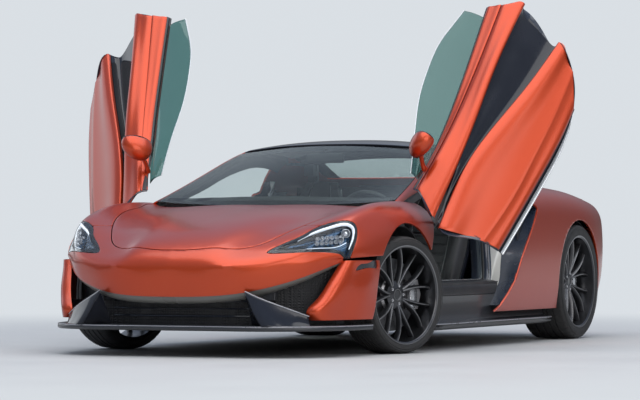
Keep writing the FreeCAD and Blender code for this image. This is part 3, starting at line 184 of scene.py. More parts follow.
def finish(name, low, high, scale=6.0, rough=(0.4, 0.5), metallic=0.0, bump=0.0, bump_scale=60.0, **sockets):
    """A procedural finish: two colours mixed by noise, a roughness that varies, and a fine bump."""
    mat = bpy.data.materials.new(name)
    mat.use_nodes = True
    nodes, links = mat.node_tree.nodes, mat.node_tree.links
    shader = nodes["Principled BSDF"]
    place = nodes.new("ShaderNodeTexCoord")
    noise = nodes.new("ShaderNodeTexNoise")
    noise.inputs["Scale"].default_value = scale
    noise.inputs["Detail"].default_value = 5
    links.new(place.outputs["Object"], noise.inputs["Vector"])
    ramp = nodes.new("ShaderNodeMix")
    ramp.data_type = "RGBA"
    ramp.inputs["A"].default_value = (*low, 1)
    ramp.inputs["B"].default_value = (*high, 1)
    links.new(noise.outputs["Fac"], ramp.inputs["Factor"])
    links.new(ramp.outputs["Result"], shader.inputs["Base Color"])
    spread = nodes.new("ShaderNodeMapRange")
    for key, value in zip(("From Min", "From Max", "To Min", "To Max"), (0.3, 0.7, *rough)):
        spread.inputs[key].default_value = value
    links.new(noise.outputs["Fac"], spread.inputs["Value"])
    links.new(spread.outputs["Result"], shader.inputs["Roughness"])
    shader.inputs["Metallic"].default_value = metallic
    for key, value in sockets.items():
        shader.inputs[key.replace("_", " ")].default_value = value
    if bump:
        add_relief(mat, "ShaderNodeTexNoise", "Fac", bump_scale, bump, Detail=4)
    return mat


def paint_finish():
    """Metallic coat over flakes, redder where the surface turns away."""
    mat = finish("paint", (0.54, 0.053, 0.008), (0.59, 0.064, 0.01), scale=3.0, rough=(0.34, 0.38),
                 metallic=0.6, Coat_Weight=0.7, Coat_Roughness=0.18, Coat_IOR=1.4)
    nodes, links = mat.node_tree.nodes, mat.node_tree.links
    turn = nodes.new("ShaderNodeLayerWeight")
    turn.inputs["Blend"].default_value = 0.45
    edge = nodes.new("ShaderNodeMix")
    edge.data_type = "RGBA"
    edge.inputs["B"].default_value = (0.3, 0.016, 0.006, 1)
    links.new(turn.outputs["Facing"], edge.inputs["Factor"])
    links.new(nodes["Mix"].outputs["Result"], edge.inputs["A"])
    links.new(edge.outputs["Result"], nodes["Principled BSDF"].inputs["Base Color"])
    add_relief(mat, "ShaderNodeTexVoronoi", "Distance", 2200, 0.04, 0.0004)
    return mat


def mesh_finish():
    """Dark honeycomb mesh for the air intakes."""
    mat = finish("intake_mesh", (0.008, 0.008, 0.009), (0.016, 0.016, 0.018), rough=(0.4, 0.55))
    cells, relief = add_relief(mat, "ShaderNodeTexVoronoi", "Distance", 70, 1.0, 0.006, Randomness=0.25)
    cells.feature = "DISTANCE_TO_EDGE"
    relief.invert = True
    return mat


PAINT = paint_finish()
MESH = mesh_finish()
GLOSS = finish("gloss_black", (0.006, 0.007, 0.011), (0.014, 0.016, 0.024), rough=(0.1, 0.15),
               Coat_Weight=0.5, Coat_Roughness=0.05, Specular_IOR_Level=0.25)
PLASTIC = finish("black_plastic", (0.012, 0.012, 0.013), (0.03, 0.03, 0.032), scale=20, rough=(0.45, 0.6),
                 bump=0.25, bump_scale=900)
CARBON = finish("carbon", (0.012, 0.013, 0.016), (0.035, 0.037, 0.042), scale=160, rough=(0.3, 0.42),
                Coat_Weight=0.35, Coat_Roughness=0.12)
# Grey for real edges and lamp cells. It also paints highlights as lines along the splitter's edge and the
# door post.
EDGE = finish("edge_grey", (0.32, 0.32, 0.34), (0.5, 0.5, 0.52), scale=12, rough=(0.25, 0.35), metallic=0.6)
SILVER = finish("silver_trim", (0.58, 0.6, 0.62), (0.75, 0.76, 0.78), scale=9, rough=(0.18, 0.28),
                metallic=0.9)
CHROME = finish("lamp_chrome", (0.75, 0.76, 0.78), (0.9, 0.9, 0.92), scale=30, rough=(0.05, 0.12),
                metallic=1.0)
GLASS = finish("screen_glass", (0.62, 0.7, 0.68), (0.66, 0.73, 0.71), rough=(0.0, 0.004),
               Transmission_Weight=1.0, IOR=1.2)
SIDE_GLASS = finish("side_glass", (0.1, 0.23, 0.21), (0.12, 0.26, 0.24), rough=(0.0, 0.01), IOR=1.45,
                    Transmission_Weight=0.95)
LENS = finish("lamp_lens", (0.9, 0.94, 0.97), (0.95, 0.97, 1.0), rough=(0.0, 0.01), Transmission_Weight=1.0,
              IOR=1.2)
BLUE = finish("lamp_blue", (0.012, 0.04, 0.09), (0.03, 0.085, 0.16), scale=25, rough=(0.12, 0.25),
              metallic=0.7)
GLOW = finish("lamp_light", (0.85, 0.9, 1.0), (0.95, 0.97, 1.0), rough=(0.1, 0.2), Emission_Strength=0.3,
              Emission_Color=(0.9, 0.95, 1, 1))
RED = finish("tail_lens", (0.35, 0.004, 0.004), (0.6, 0.012, 0.01), scale=40, rough=(0.08, 0.15),
             Coat_Weight=1.0, Emission_Color=(0.9, 0.03, 0.015, 1), Emission_Strength=0.9)
RUBBER = finish("tyre", (0.014, 0.014, 0.015), (0.032, 0.031, 0.03), scale=18, rough=(0.6, 0.8), bump=0.3,
                bump_scale=500)
ALLOY = finish("rim_alloy", (0.045, 0.046, 0.05), (0.075, 0.076, 0.082), scale=14, rough=(0.28, 0.38),
               metallic=0.85, Coat_Weight=0.4)
CAST = finish("cast_alloy", (0.38, 0.38, 0.39), (0.55, 0.55, 0.56), scale=25, rough=(0.35, 0.5), metallic=0.8,
              bump=0.2, bump_scale=250)
SPOKE_EDGE = finish("spoke_edge", (0.2, 0.2, 0.205), (0.28, 0.28, 0.285), scale=14, rough=(0.3, 0.4),
                    metallic=0.9)
# Pale grey for the door post's face is painted light: it stands in for sun and bright ground reflected there.
PALE_PAINTED_LIGHT = finish("pale_grey_painted_light", (0.5, 0.49, 0.46), (0.6, 0.59, 0.56), rough=(0.35, 0.45), metallic=0.2)
DISC = finish("disc_iron", (0.1, 0.1, 0.105), (0.17, 0.17, 0.175), scale=14, rough=(0.3, 0.45), metallic=1.0)
add_relief(DISC, "ShaderNodeTexNoise", "Fac", 220, 0.15)
FRAME = finish("frame_metal", (0.05, 0.052, 0.058), (0.1, 0.102, 0.11), scale=8, rough=(0.4, 0.55),
               metallic=0.5, bump=0.15, bump_scale=200)
SATIN = finish("satin_black", (0.01, 0.01, 0.012), (0.018, 0.018, 0.021), scale=8, rough=(0.38, 0.5))
# Mid grey for the under-lip is a painted reflection of the bright ground on a surface that faces down.
LIP_GROUND_REFLECTION = finish("lip_grey_painted_reflection", (0.13, 0.125, 0.115), (0.17, 0.165, 0.15), rough=(0.25, 0.35))
JAMB = finish("jamb", (0.012, 0.018, 0.032), (0.025, 0.034, 0.055), rough=(0.2, 0.32), Coat_Weight=0.6)
HIDE = finish("seat_leather", (0.018, 0.018, 0.02), (0.04, 0.04, 0.043), scale=12, rough=(0.42, 0.55),
              bump=0.5, bump_scale=420, Sheen_Weight=0.15)
SUEDE = finish("suede", (0.03, 0.03, 0.033), (0.055, 0.055, 0.06), scale=60, rough=(0.75, 0.9), bump=0.6,
               bump_scale=1400, Sheen_Weight=0.5)
STEEL = finish("exhaust_steel", (0.3, 0.3, 0.31), (0.5, 0.5, 0.51), scale=20, rough=(0.2, 0.35), metallic=1.0)


# Surfaces are pairs of points and faces

def surface(grid):
    grid = np.asarray(grid, float)
    return grid.reshape(-1, 3), quads(*grid.shape[:2])


def outline_field(points, outline):
    """How far inside a closed outline each 2-D point is, negative outside."""
    p, a = np.asarray(points, float)[:, None], np.asarray(outline, float)[None]
    b = np.roll(a, -1, 1)
    run, gone = b - a, p - a
    share = np.clip((gone * run).sum(2) / np.maximum((run * run).sum(2), 1e-9), 0, 1)
    far = np.linalg.norm(gone - run * share[..., None], axis=2).min(1)
    rise = np.where(run[..., 1] == 0, 1e-9, run[..., 1])
    above = (a[..., 1] > p[..., 1]) != (b[..., 1] > p[..., 1])
    crossed = above & (p[..., 0] < gone[..., 1] / rise * run[..., 0] + a[..., 0])
    return np.where(crossed.sum(1) % 2 == 1, far, -far)


# a point this near a cut counts as on it, and one this near the centre line as on that
NEAR_CUT = 0.8
NEAR_CENTRE = 0.05


def drop(surf, *fields):
    """The part of a surface where none of the fields is negative."""
    verts, faces = surf
    field = np.minimum.reduce(fields)
    field = np.where(abs(field) < NEAR_CUT, 0.0, field)
    points, cut, kept = [tuple(v) for v in verts], {}, []
    for f in faces:
        if all(field[i] >= 0 for i in f):
            kept.append(f)
            continue
        if all(field[i] <= 0 for i in f):
            continue
        new = []
        for i, j in zip(f, f[1:] + f[:1]):
            if field[i] >= 0:
                new.append(i)
            if field[i] * field[j] < 0:
                key = (min(i, j), max(i, j))
                if key not in cut:
                    share = field[i] / (field[i] - field[j])
                    cut[key] = len(points)
                    points.append(tuple(verts[i] + (verts[j] - verts[i]) * share))
                new.append(cut[key])
        if len(new) > 2:
            kept.append(tuple(new))
    used = sorted({i for f in kept for i in f})
    place = {old: new for new, old in enumerate(used)}
    return np.array([points[i] for i in used]), [tuple(place[i] for i in f) for f in kept]


def full_width(surf):
    """A left half with its mirror image, joined on the centre line."""
    verts, faces = surf
    n = len(verts)
    place = list(range(n))
    extra = []
    for i, v in enumerate(verts):
        if abs(v[1]) > NEAR_CENTRE:
            place[i] = n + len(extra)
            extra.append(v * OTHER_SIDE)
    faces = faces + [tuple(place[i] for i in f[::-1]) for f in faces]
    return np.concatenate([verts, np.array(extra)]), faces


def facing(surf, out):
    """The surface with its faces turned to look along out on the whole."""
    verts, faces = surf
    total = 0.0
    for f in faces:
        a, b, c = verts[f[0]], verts[f[1]], verts[f[2]]
        total += float(np.cross(b - a, c - a) @ np.asarray(out))
    return (verts, [f[::-1] for f in faces]) if total < 0 else surf


def moved(surf, by):
    return surf[0] + np.asarray(by, float), surf[1]


def merged(*surfs):
    verts, faces, n = [], [], 0
    for v, f in surfs:
        verts.append(v)
        faces += [tuple(i + n for i in g) for g in f]
        n += len(v)
    return np.concatenate(verts), faces


# Making objects

def raw(verts, faces):
    data = bpy.data.meshes.new("piece")
    data.from_pydata((np.asarray(verts, float) * MM).tolist(), [], [tuple(map(int, f)) for f in faces])
    data.update()
    obj = bpy.data.objects.new("piece", data)
    bpy.context.scene.collection.objects.link(obj)
    return obj


def settle(obj):
    """Replaces the mesh by the one its modifiers make."""
    shaped = bpy.data.meshes.new_from_object(obj.evaluated_get(bpy.context.evaluated_depsgraph_get()))
    obj.modifiers.clear()
    obj.data = shaped
    return obj


def bevelled(obj, width, above=None):
    """The object with its edges rounded, or only those sharper than an angle."""
    edge = obj.modifiers.new("edge", "BEVEL")
    edge.width = width * MM
    edge.segments = 2
    if above:
        edge.limit_method = "ANGLE"
        edge.angle_limit = math.radians(above)
    return settle(obj)


SHARP = 50


def shell(surf, out, thick=12, bevel=2, lift=0):
    """A panel of some thickness below a surface or a grid of points."""
    obj = raw(*facing(surf if isinstance(surf, tuple) else surface(surf), out))
    solid = obj.modifiers.new("thick", "SOLIDIFY")
    solid.thickness = thick * MM
    solid.offset = -1 + 2 * lift / thick
    return bevelled(obj, bevel, SHARP) if bevel else settle(obj)


def tube(path, radius, sides=10):
    """A round bar along a path. The radius may vary."""
    p = np.asarray(path, float)
    radii = np.broadcast_to(np.asarray(radius, float), (len(p),))
    run = np.gradient(p, axis=0)
    run /= np.linalg.norm(run, axis=1)[:, None]
    a = np.cross(run, np.eye(3)[np.argmin(abs(run).max(0))])
    a /= np.linalg.norm(a, axis=1)[:, None]
    b = np.cross(run, a)
    turn = around(sides)[None, :, None]
    ring = (a[:, None] * np.cos(turn) + b[:, None] * np.sin(turn)) * radii[:, None, None]
    return capped(p[:, None] + ring)


def capped(rings, turn=1):
    """A solid through closed rings of points, with a face over each end. A turn of -1 flips the two."""
    n, m = rings.shape[:2]
    ends = [tuple(range(m))[::turn], tuple(range((n - 1) * m, n * m))[::-turn]]
    return raw(rings.reshape(-1, 3), quads(n, m, loop=True) + ends)


def block(x, y, z, bevel=3):
    """A box with rounded edges."""
    verts = [(a, b, c) for a in x for b in y for c in z]
    faces = [(0, 1, 3, 2), (4, 6, 7, 5), (0, 4, 5, 1), (2, 3, 7, 6), (0, 2, 6, 4), (1, 5, 7, 3)]
    return bevelled(raw(verts, faces), bevel)


def spokes_about(axis, count):
    """Directions all round an axis, the first one upwards."""
    turn = around(count)
    return UP * np.cos(turn)[:, None] + np.cross(axis, UP) * np.sin(turn)[:, None]


def turned(profile, centre, axis, count=96):
    """A ring shape from radius and place along the axis, its profile closed on itself."""
    p = np.asarray(profile, float)
    verts = np.asarray(centre, float) + p[:, None, 0:1] * spokes_about(axis, count)[None]
    verts = verts + p[:, None, 1:2] * np.asarray(axis, float)
    return raw(verts.reshape(-1, 3), quads(len(p), count, loop=True, ring=True))


def other_side(obj):
    """A mirror image of a left-hand piece that has not been dressed yet."""
    data = obj.data.copy()
    data.transform(Matrix.Scale(-1, 4, (0, 1, 0)))
    data.flip_normals()
    twin = bpy.data.objects.new("twin", data)
    bpy.context.scene.collection.objects.link(twin)
    return twin


def joined(objs):
    """One object from several, by their meshes only."""
    verts, faces = [], []
    for o in objs:
        start = len(verts)
        verts += [tuple(v.co / MM) for v in o.data.vertices]
        faces += [tuple(start + i for i in p.vertices) for p in o.data.polygons]
        bpy.data.objects.remove(o)
    return raw(verts, faces)


def dress(name, obj, mat, body="chassis", angle=32, replaces=()):
    """Gives a piece its name, finish and body, and smooth shading with sharp edges above an angle."""
    obj.name = name
    obj.data.materials.clear()
    obj.data.materials.append(mat)
    obj.data.polygons.foreach_set("use_smooth", [True] * len(obj.data.polygons))
    obj.data.set_sharp_from_angle(angle=math.radians(angle))
    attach(obj, body)
    if replaces:
        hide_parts(*replaces)
    return obj


def both(name, obj, mat, body="chassis", angle=32, replaces=()):
    """Dresses a left piece and its mirror image. SIDE in a name stands for left or right. A node whose name
    lacks it is replaced by the left piece alone."""
    for side, piece in (("left", obj), ("right", other_side(obj))):
        nodes = [n.replace("SIDE", side) for n in replaces if "SIDE" in n or side == "left"]
        dress(f"{name}_{side}", piece, mat, body.replace("SIDE", side), angle, nodes)


# Front skin: rails from the windscreen forward to the nose crease, from the centre line outwards

FRONT_RAILS = [
    [(770, 0, 806), (985, 0, 808), (1210, 0, 800), (1400, 0, 783), (1600, 0, 755), (1750, 0, 727),
     (1900, 0, 693), (2030, 0, 655), (2119, 0, 617), (2191, 0, 572), (2232, 0, 532), (2254, 0, 500),
     (2262, 0, 474)],
    [(770, 365, 807), (985, 360, 808), (1210, 352, 799), (1400, 340, 782), (1600, 318, 752), (1750, 292, 720),
     (1900, 262, 682), (2030, 240, 640), (2119, 232, 602), (2180, 230, 565), (2222, 230, 527),
     (2242, 230, 498), (2250, 230, 477)],
    [(770, 722, 808), (985, 720, 808), (1210, 705, 799), (1400, 680, 780), (1600, 640, 746), (1750, 592, 705),
     (1900, 525, 652), (2000, 470, 608), (2080, 435, 570), (2135, 420, 538), (2180, 412, 507),
     (2203, 410, 483)],
    [(770, 795, 812), (985, 800, 822), (1210, 806, 820), (1400, 802, 806), (1600, 792, 766), (1700, 782, 738),
     (1800, 762, 696), (1900, 725, 640), (1980, 685, 590), (2045, 640, 545), (2090, 603, 512),
     (2110, 580, 492)],
    [(770, 876, 752), (985, 882, 764), (1210, 886, 762), (1400, 876, 746), (1600, 853, 704), (1700, 838, 678),
     (1790, 812, 642), (1870, 776, 602), (1940, 738, 560), (1990, 708, 525), (2018, 690, 500)],
    [(770, 920, 662), (985, 927, 672), (1210, 930, 670), (1400, 920, 656), (1600, 893, 622), (1700, 874, 600),
     (1780, 850, 574), (1840, 822, 550), (1880, 798, 528), (1903, 775, 510)],
    [(770, 936, 540), (985, 943, 540), (1210, 945, 540), (1400, 935, 536), (1600, 906, 530), (1700, 883, 526),
     (1770, 858, 522), (1815, 836, 519), (1838, 818, 517)],
]
# outlines: the lid and the seam between nose and wing from above, the lamp as the photograph's camera sees it
LID = [(1004, 0), (1002, 300), (990, 500), (975, 660), (985, 714), (1210, 702), (1400, 677), (1600, 637),
       (1750, 588), (1900, 520), (1985, 474), (2048, 425), (2100, 360), (2142, 280), (2172, 200), (2192, 110),
       (2198, 0)]
SEAM = [(1750, 540), (1770, 560), (1806, 600), (1830, 700), (1838, 780), (1850, 900), (1850, 1000),
        (600, 1000), (600, 0), (1700, 0), (1700, 500)]
LAMP = [(-413, 548), (-325, 599), (-228, 642), (-153, 683), (-74, 710), (13, 720), (48, 708), (64, 680),
        (64, 630), (41, 556), (4, 505), (-6, 512), (-20, 535), (-53, 546), (-187, 552), (-353, 545)]
SCREEN_FOOT = [(600, 0), (600, 775), (800, 764), (930, 752), (972, 716), (1001, 640), (1006, 500), (1008, 0)]
DOOR_FRONT = [(912, 545), (764, 772), (700, 765), (600, 500), (600, 200), (912, 200)]
CHEEK_TOP = [(1500, 527), (1700, 524), (1900, 512), (1900, 200), (1500, 200)]
# the nose band below the crease: distance from the centre line, crease x, z, lip x, z
BAND = [
    (0, 2262, 474, 2238, 318), (250, 2250, 478, 2224, 324), (430, 2200, 484, 2172, 346),
    (580, 2110, 492, 2088, 386), (690, 2018, 500, 2000, 430), (775, 1903, 510, 1890, 478),
    (818, 1838, 517, 1832, 502),
]
# x, z and radius of the wheel arches
FRONT_ARCH = (1210, 325, 382)
REAR_ARCH = (-1460, 348, 384)
SHUT_LINE = 5
SEAM_GAP = 2.5
WELD_GAP = 0.3
SKIN = 11
LOOK_ANGLE = math.radians(24.4)
LOOK = vec(math.cos(LOOK_ANGLE), math.sin(LOOK_ANGLE), 0)
ACROSS = vec(-LOOK[1], LOOK[0], 0)


def arch_field(points, arch):
    x, z, radius = arch
    return np.hypot(points[:, 0] - x, points[:, 2] - z) - radius


def lip_at(y):
    """The crease's and the lip's x and z at a distance from the centre line."""
    return read(BAND, abs(y))[0]


def below_crease(x, y, z):
    """A line down the nose band from one point of the crease."""
    crease_x, crease_z, lip_x, lip_z = lip_at(y)
    deep, tall = crease_x - lip_x, abs(crease_z - lip_z)
    return curve([(x, y, z), (crease_x + 1 - deep * 0.2, y, crease_z - tall * 0.3),
                  (crease_x - deep * 0.62, y, crease_z - tall * 0.72), (lip_x, y, lip_z)], 9)[1:]


front = across(np.stack([curve(rail, 120) for rail in FRONT_RAILS], 1), 12)
top = surface(front)
points = top[0]
half_lid = curve(LID, 90)
lid_outline = np.concatenate([half_lid, half_lid[-2:0:-1] * np.array([1, -1])])
lamp_edge = rounded(LAMP, 80)
lamp_view = np.stack([points @ ACROSS, points[:, 2]], 1)
from_above, from_side = points[:, :2], points[:, [0, 2]]
on_lid = outline_field(from_above, lid_outline)
on_lamp = outline_field(lamp_view, lamp_edge)
on_wing = outline_field(from_above, SEAM)
dress("front_lid", shell(full_width(drop(top, on_lid)), UP, SKIN), PAINT, body="front_lid",
      replaces=["front_lid"])
wing = drop(top, -on_lid - SHUT_LINE, on_wing, arch_field(points, FRONT_ARCH),
            -outline_field(from_side, DOOR_FRONT), -outline_field(from_side, CHEEK_TOP),
            -outline_field(from_above, SCREEN_FOOT), -on_lamp)
both("front_wing", shell(wing, (0, 1, 1), SKIN), PAINT, replaces=["fender_SIDE"])
ahead = drop(top, -on_lid - SHUT_LINE, -on_wing - SEAM_GAP, -on_lamp)
band = np.swapaxes(np.array([below_crease(*p) for p in front[-1]]), 0, 1)
nose = raw(*full_width(merged(ahead, surface(np.concatenate([front[-1:], band])))))
weld = nose.modifiers.new("weld", "WELD")
weld.merge_threshold = WELD_GAP * MM
settle(nose)
nose_points = np.array([v.co for v in nose.data.vertices]) / MM
nose_faces = [tuple(p.vertices) for p in nose.data.polygons]
bpy.data.objects.remove(nose)
dress("nose", shell((nose_points, nose_faces), (1, 0, 1), SKIN, 2.5), PAINT, angle=40,
      replaces=["nose_corners", "nose_band"])

# Liner around the front boot, hung below the wings and the nose

LINER_GAP = 12
liner_rows = []
for x, y in grown(lid_outline, LINER_GAP):
    nearest = np.argsort(np.hypot(points[:, 0] - x, points[:, 1] - abs(y)))[:4]
    skin_z = float(points[nearest, 2].mean())
    liner_rows.append([(x, y, skin_z - 17), (x - 2, y * 0.995, skin_z - 60), (x - 4, y * 0.99, skin_z - 118)])
liner_rows.append(liner_rows[0])
dress("boot_liner", shell(liner_rows, UP, 3, 0), PLASTIC)

# Headlamp: lens, black border, bowl, light hook, cells and projectors

LENS_GAP = 2.5
BORDER = 17
BOWL_INSET = 14
LAMP_BACK_LIMIT = 1500
HOOK = [(-250, 608), (-190, 640), (-120, 668), (-50, 689), (10, 696), (36, 682), (44, 650), (34, 606),
        (18, 566)]
LOW_LINE = [(-215, 566), (-120, 573), (-40, 580), (4, 600)]
# share of the lamp's size, depth behind the lens
BOWL = [(1.0, 8), (0.97, 40), (0.9, 66), (0.6, 74), (0.02, 76)]
# place across, height, radius
PROJECTORS = [(2, 650, 22), (-24, 616, 15)]
CELL_ROWS = (596, 620)
CELLS_IN_ROW = 6
CELL_PITCH = 25
reach = points @ LOOK


def lamp_point(s, z, deep):
    """A point behind the lamp's lens, by its place across and its height."""
    far = np.hypot(lamp_view[:, 0] - s,
                   lamp_view[:, 1] - z) + np.where(points[:, 0] > LAMP_BACK_LIMIT, 0, 1e4)
    near = np.argsort(far)[:4]
    share = 1 / (far[near] + 0.5)
    return ACROSS * s + LOOK * (float((reach[near] * share).sum() / share.sum()) - deep) + vec(0, 0, z)


def lamp_line(line, count, deep):
    return np.array([lamp_point(s, z, deep) for s, z in curve(line, count)])


lens = drop(top, on_lamp - LENS_GAP)
border = drop(top, on_lamp - LENS_GAP, BORDER - on_lamp)
both("lamp_lens", shell(moved(lens, -LOOK * 2), (1, 1, 0), 3, 1), LENS, replaces=["headlamps"])
both("lamp_border", shell(moved(border, -LOOK * 6), (1, 1, 0), 2, 0), GLOSS)
inner_edge = grown(lamp_edge, -BOWL_INSET)
middle = inner_edge.mean(0)
bowl = np.array([[lamp_point(*(middle + (p - middle) * share), deep) for p in inner_edge]
                 for share, deep in BOWL])
both("lamp_bowl", shell(np.concatenate([bowl, bowl[:, :1]], 1), LOOK, 2, 0, -1), BLUE)
hook_size = np.interp(steps(40), [0, 0.25, 0.7, 0.85, 1], [1.5, 7, 9, 6, 2.5])
both("lamp_hook", tube(lamp_line(HOOK, 40, 16), hook_size, 12), GLOW)
both("lamp_low_line", tube(lamp_line(LOW_LINE, 20, 26), 2.2, 8), GLOW)
cells, eyes = [], []
for row, z in enumerate(CELL_ROWS):
    for k in range(CELLS_IN_ROW):
        centre = lamp_point(-150 + k * CELL_PITCH + row * 4, z + k * 2.4, 42)
        cells.append(turned([(10.5, 0), (11.5, 14), (10, 14), (3, 1), (3, 0)], centre, LOOK, 20))
        eyes.append(turned([(0.1, 0), (6, 0), (4.5, 5), (0.1, 7)], centre, LOOK, 16))
for s, z, r in PROJECTORS:
    centre = lamp_point(s, z, 52)
    cells.append(turned([(r - 2, 0), (r + 1, 0), (r + 2, 22), (r - 2, 24), (r - 4, 12)], centre, LOOK, 40))
    eyes.append(turned([(0.1, 2), (r - 4, 2), (r - 6, 10), (r - 14, 17), (0.1, 19)], centre, LOOK, 32))
both("lamp_cells", joined(cells), EDGE)
both("lamp_eyes", joined(eyes), CHROME)

# Cheek ahead of the front wheel: height, front x, y, rear x, y

CHEEK = [(508, 1833, 840, 1566, 912), (470, 1858, 826, 1562, 915), (380, 1925, 795, 1588, 914),
         (300, 1985, 760, 1604, 911), (238, 2030, 728, 1616, 905), (196, 2008, 736, 1620, 896)]
MARKER = [(1790, 462), (1772, 480), (1690, 494), (1600, 507), (1590, 480), (1690, 468)]
cheek_rows = []
for z, fx, fy, rx, ry in CHEEK:
    swell = 9 * math.sin(min(1, (z - 150) / 330) * math.pi)
    cheek_rows.append(curve([(fx - 4, fy - 34, z), (fx, fy, z),
                             ((fx * 2 + rx) / 3, (fy * 2 + ry) / 3 + 26 + swell, z),
                             ((fx + 2 * rx) / 3, (fy + 2 * ry) / 3 + 22 + swell, z), (rx, ry, z)], 36))
cheek = surface(between(*cheek_rows, per=8))
marker = outline_field(cheek[0][:, [0, 2]], rounded(MARKER, 40))
both("cheek", shell(drop(cheek, arch_field(cheek[0], FRONT_ARCH), -marker), -IN, 10, 2.5), PAINT,
     replaces=["cheeks"])
both("side_marker", shell(drop(moved(cheek, (0, -7, 0)), marker + 6), -IN, 4, 1), GLOSS)

# Under the band: lip, mesh intake, its bars, the splitter and the blades

NOSE_HALF = 818
lip = []
for y in np.linspace(-NOSE_HALF, NOSE_HALF, 60):
    x, z = lip_at(y)[2:]
    room = 1 - min(1, abs(y) / NOSE_HALF) ** 3
    lip.append(curve([(x - 3, y, z + 6), (x - 10, y * 0.997, z - 16 * room),
                      (x - 60 - 50 * room, y * 0.985, z - 34 * room),
                      (x - 150 * room - 60, y * 0.96, z - 20 * room - 6)], 10))
# The under-lip's grey is a painted reflection of the ground below it.
dress("under_lip", shell(lip, -UP, 6, 1.5), LIP_GROUND_REFLECTION)
grille = []
for y in np.linspace(-760, 760, 50):
    x, z_top = lip_at(y)[2:]
    grille.append([(x - 120, y, z) for z in np.linspace(z_top + 30, 168, 14)])
dress("intake_mesh", shell(grille, (1, 0, 0), 6, 0), MESH, replaces=["front_intake"])
bars = [tube([(lip_at(y)[2] - 92, y, z) for y in np.linspace(-400, 400, 30)], 4, 8) for z in (216, 256, 294)]
for y in (-330, 330, -110, 110):
    back = abs(y) * 0.15
    bars.append(tube([(2120 - back, y, 165), (2126 - back, y, 240), (2130 - back, y, 320)], 5, 8))
dress("intake_bars", joined(bars), GLOSS)
SPLITTER = [(2238, 0), (2234, 300), (2224, 520), (2190, 600), (2105, 725), (2000, 800), (1880, 852),
            (1760, 884), (1632, 902)]
SPLITTER_HALF = 902
edge_line = curve([(x, y, 0) for x, y in SPLITTER], 60)
plate = []
for x, y, z in edge_line:
    back = 1 - 0.55 * y / SPLITTER_HALF
    plate.append([(x - 320 * back, y * 0.92, 168), (x - 14, y * 0.99, 168), (x - 3, y, 160), (x, y, 152),
                  (x - 4, y, 144), (x - 12, y * 0.995, 140), (x - 330 * back, y * 0.92, 140)])
dress("splitter", raw(*full_width(facing(surface(plate), (1, 1, 0)))), CARBON, angle=50,
      replaces=["splitter"])
# A grey line along the splitter's front edge is a painted highlight on the black carbon.
edge_line = edge_line + vec(-3.5, -1, 164)
edge_line = np.concatenate([edge_line[::-1] * OTHER_SIDE, edge_line[1:]])
dress("splitter_edge_highlight", tube(edge_line, 2.6, 8), EDGE)
head = curve([(2214, 428, 348), (2196, 480, 322), (2150, 570, 282), (2090, 650, 246), (2034, 712, 216)], 30)
foot = curve([(2224, 528, 166), (2208, 566, 166), (2158, 624, 166), (2096, 684, 166), (2030, 728, 166)], 30)
fin = between(head, head * 0.6 + foot * 0.4 + vec(3, -5, 0), head * 0.25 + foot * 0.75 + vec(4, -6, 0), foot)
both("blade_fin", shell(fin, (1, 0, 0.4), 9, 2), GLOSS)
both("blade_edge", tube(head + vec(-3, 0, 1), 3.2, 8), EDGE)
inner_fin = between(curve([(2216, 424, 342), (2150, 420, 255), (2100, 415, 170)], 20),
                    curve([(2222, 528, 170), (2180, 500, 168), (2120, 470, 166)], 20), per=4)
both("blade_inner", shell(inner_fin, IN, 6, 1), GLOSS)

# Doors, drawn closed and then swung open about their hinge. Lines of x, y, z from the front to the rear.

DOOR_LINES = {
    "belt": [(734, 846, 768), (474, 834, 780), (11, 801, 854), (-472, 762, 956)],
    "blade_top": [(740, 880, 752), (490, 870, 762), (21, 844, 814), (-500, 824, 904)],
    "blade_low": [(838, 930, 606), (532, 925, 645), (200, 927, 701), (-101, 914, 758), (-562, 886, 811)],
    "channel_top": [(828, 908, 594), (730, 882, 608), (532, 864, 636), (200, 856, 690), (-101, 846, 745),
                    (-530, 838, 790)],
    "channel_low": [(832, 912, 566), (730, 884, 573), (532, 868, 590), (144, 862, 570), (-120, 862, 540),
                    (-458, 862, 528)],
    "skin_top": [(872, 934, 540), (634, 926, 579), (425, 928, 597), (144, 932, 577), (-120, 938, 546),
                 (-463, 944, 527)],
    "crease": [(794, 947, 300), (429, 954, 290), (218, 956, 307), (-39, 956, 331), (-357, 952, 376)],
    "bottom": [(774, 925, 197), (277, 934, 216), (-66, 934, 241), (-185, 931, 258)],
    "strip": [(774, 895, 160), (277, 904, 174), (-66, 905, 216), (-112, 905, 230)],
}
STATIONS = 60
HINGE = Vector((915, 774, 700)) * MM
HINGE_AXIS = Vector((0.504, 0.651, -0.568)).normalized()
SWING = Matrix.Rotation(math.radians(68.5), 4, HINGE_AXIS)
OPEN = Matrix.Translation(HINGE) @ SWING @ Matrix.Translation(-HINGE)
line = {name: curve(rows, STATIONS) for name, rows in DOOR_LINES.items()}
belt, blade_top, blade_low, channel_top, channel_low, skin_top, crease, bottom, strip = line.values()


def inner(name, depth, lower=0.0):
    """A line of the door's inner side. The door is thin at its front edge, which passes the wing."""
    keep = np.interp(steps(STATIONS), [0, 0.1, 0.2, 0.32, 1], [0.06, 0.28, 0.72, 1, 1])
    return line[name] + IN * (depth * keep)[:, None] - vec(0, 0, lower)


def door_piece(name, obj, mat, replaces=()):
    obj.data.transform(OPEN)
    both(name, obj, mat, "door_SIDE", replaces=replaces)


def door_panel(name, rails, mat, per=6, creases=(), out=(0, 1, 0.3), thick=4, bevel=1.5, replaces=()):
    panel = shell(between(*rails, per=per, creases=creases), out, thick, bevel)
    door_piece("door_" + name, panel, mat, replaces=replaces)


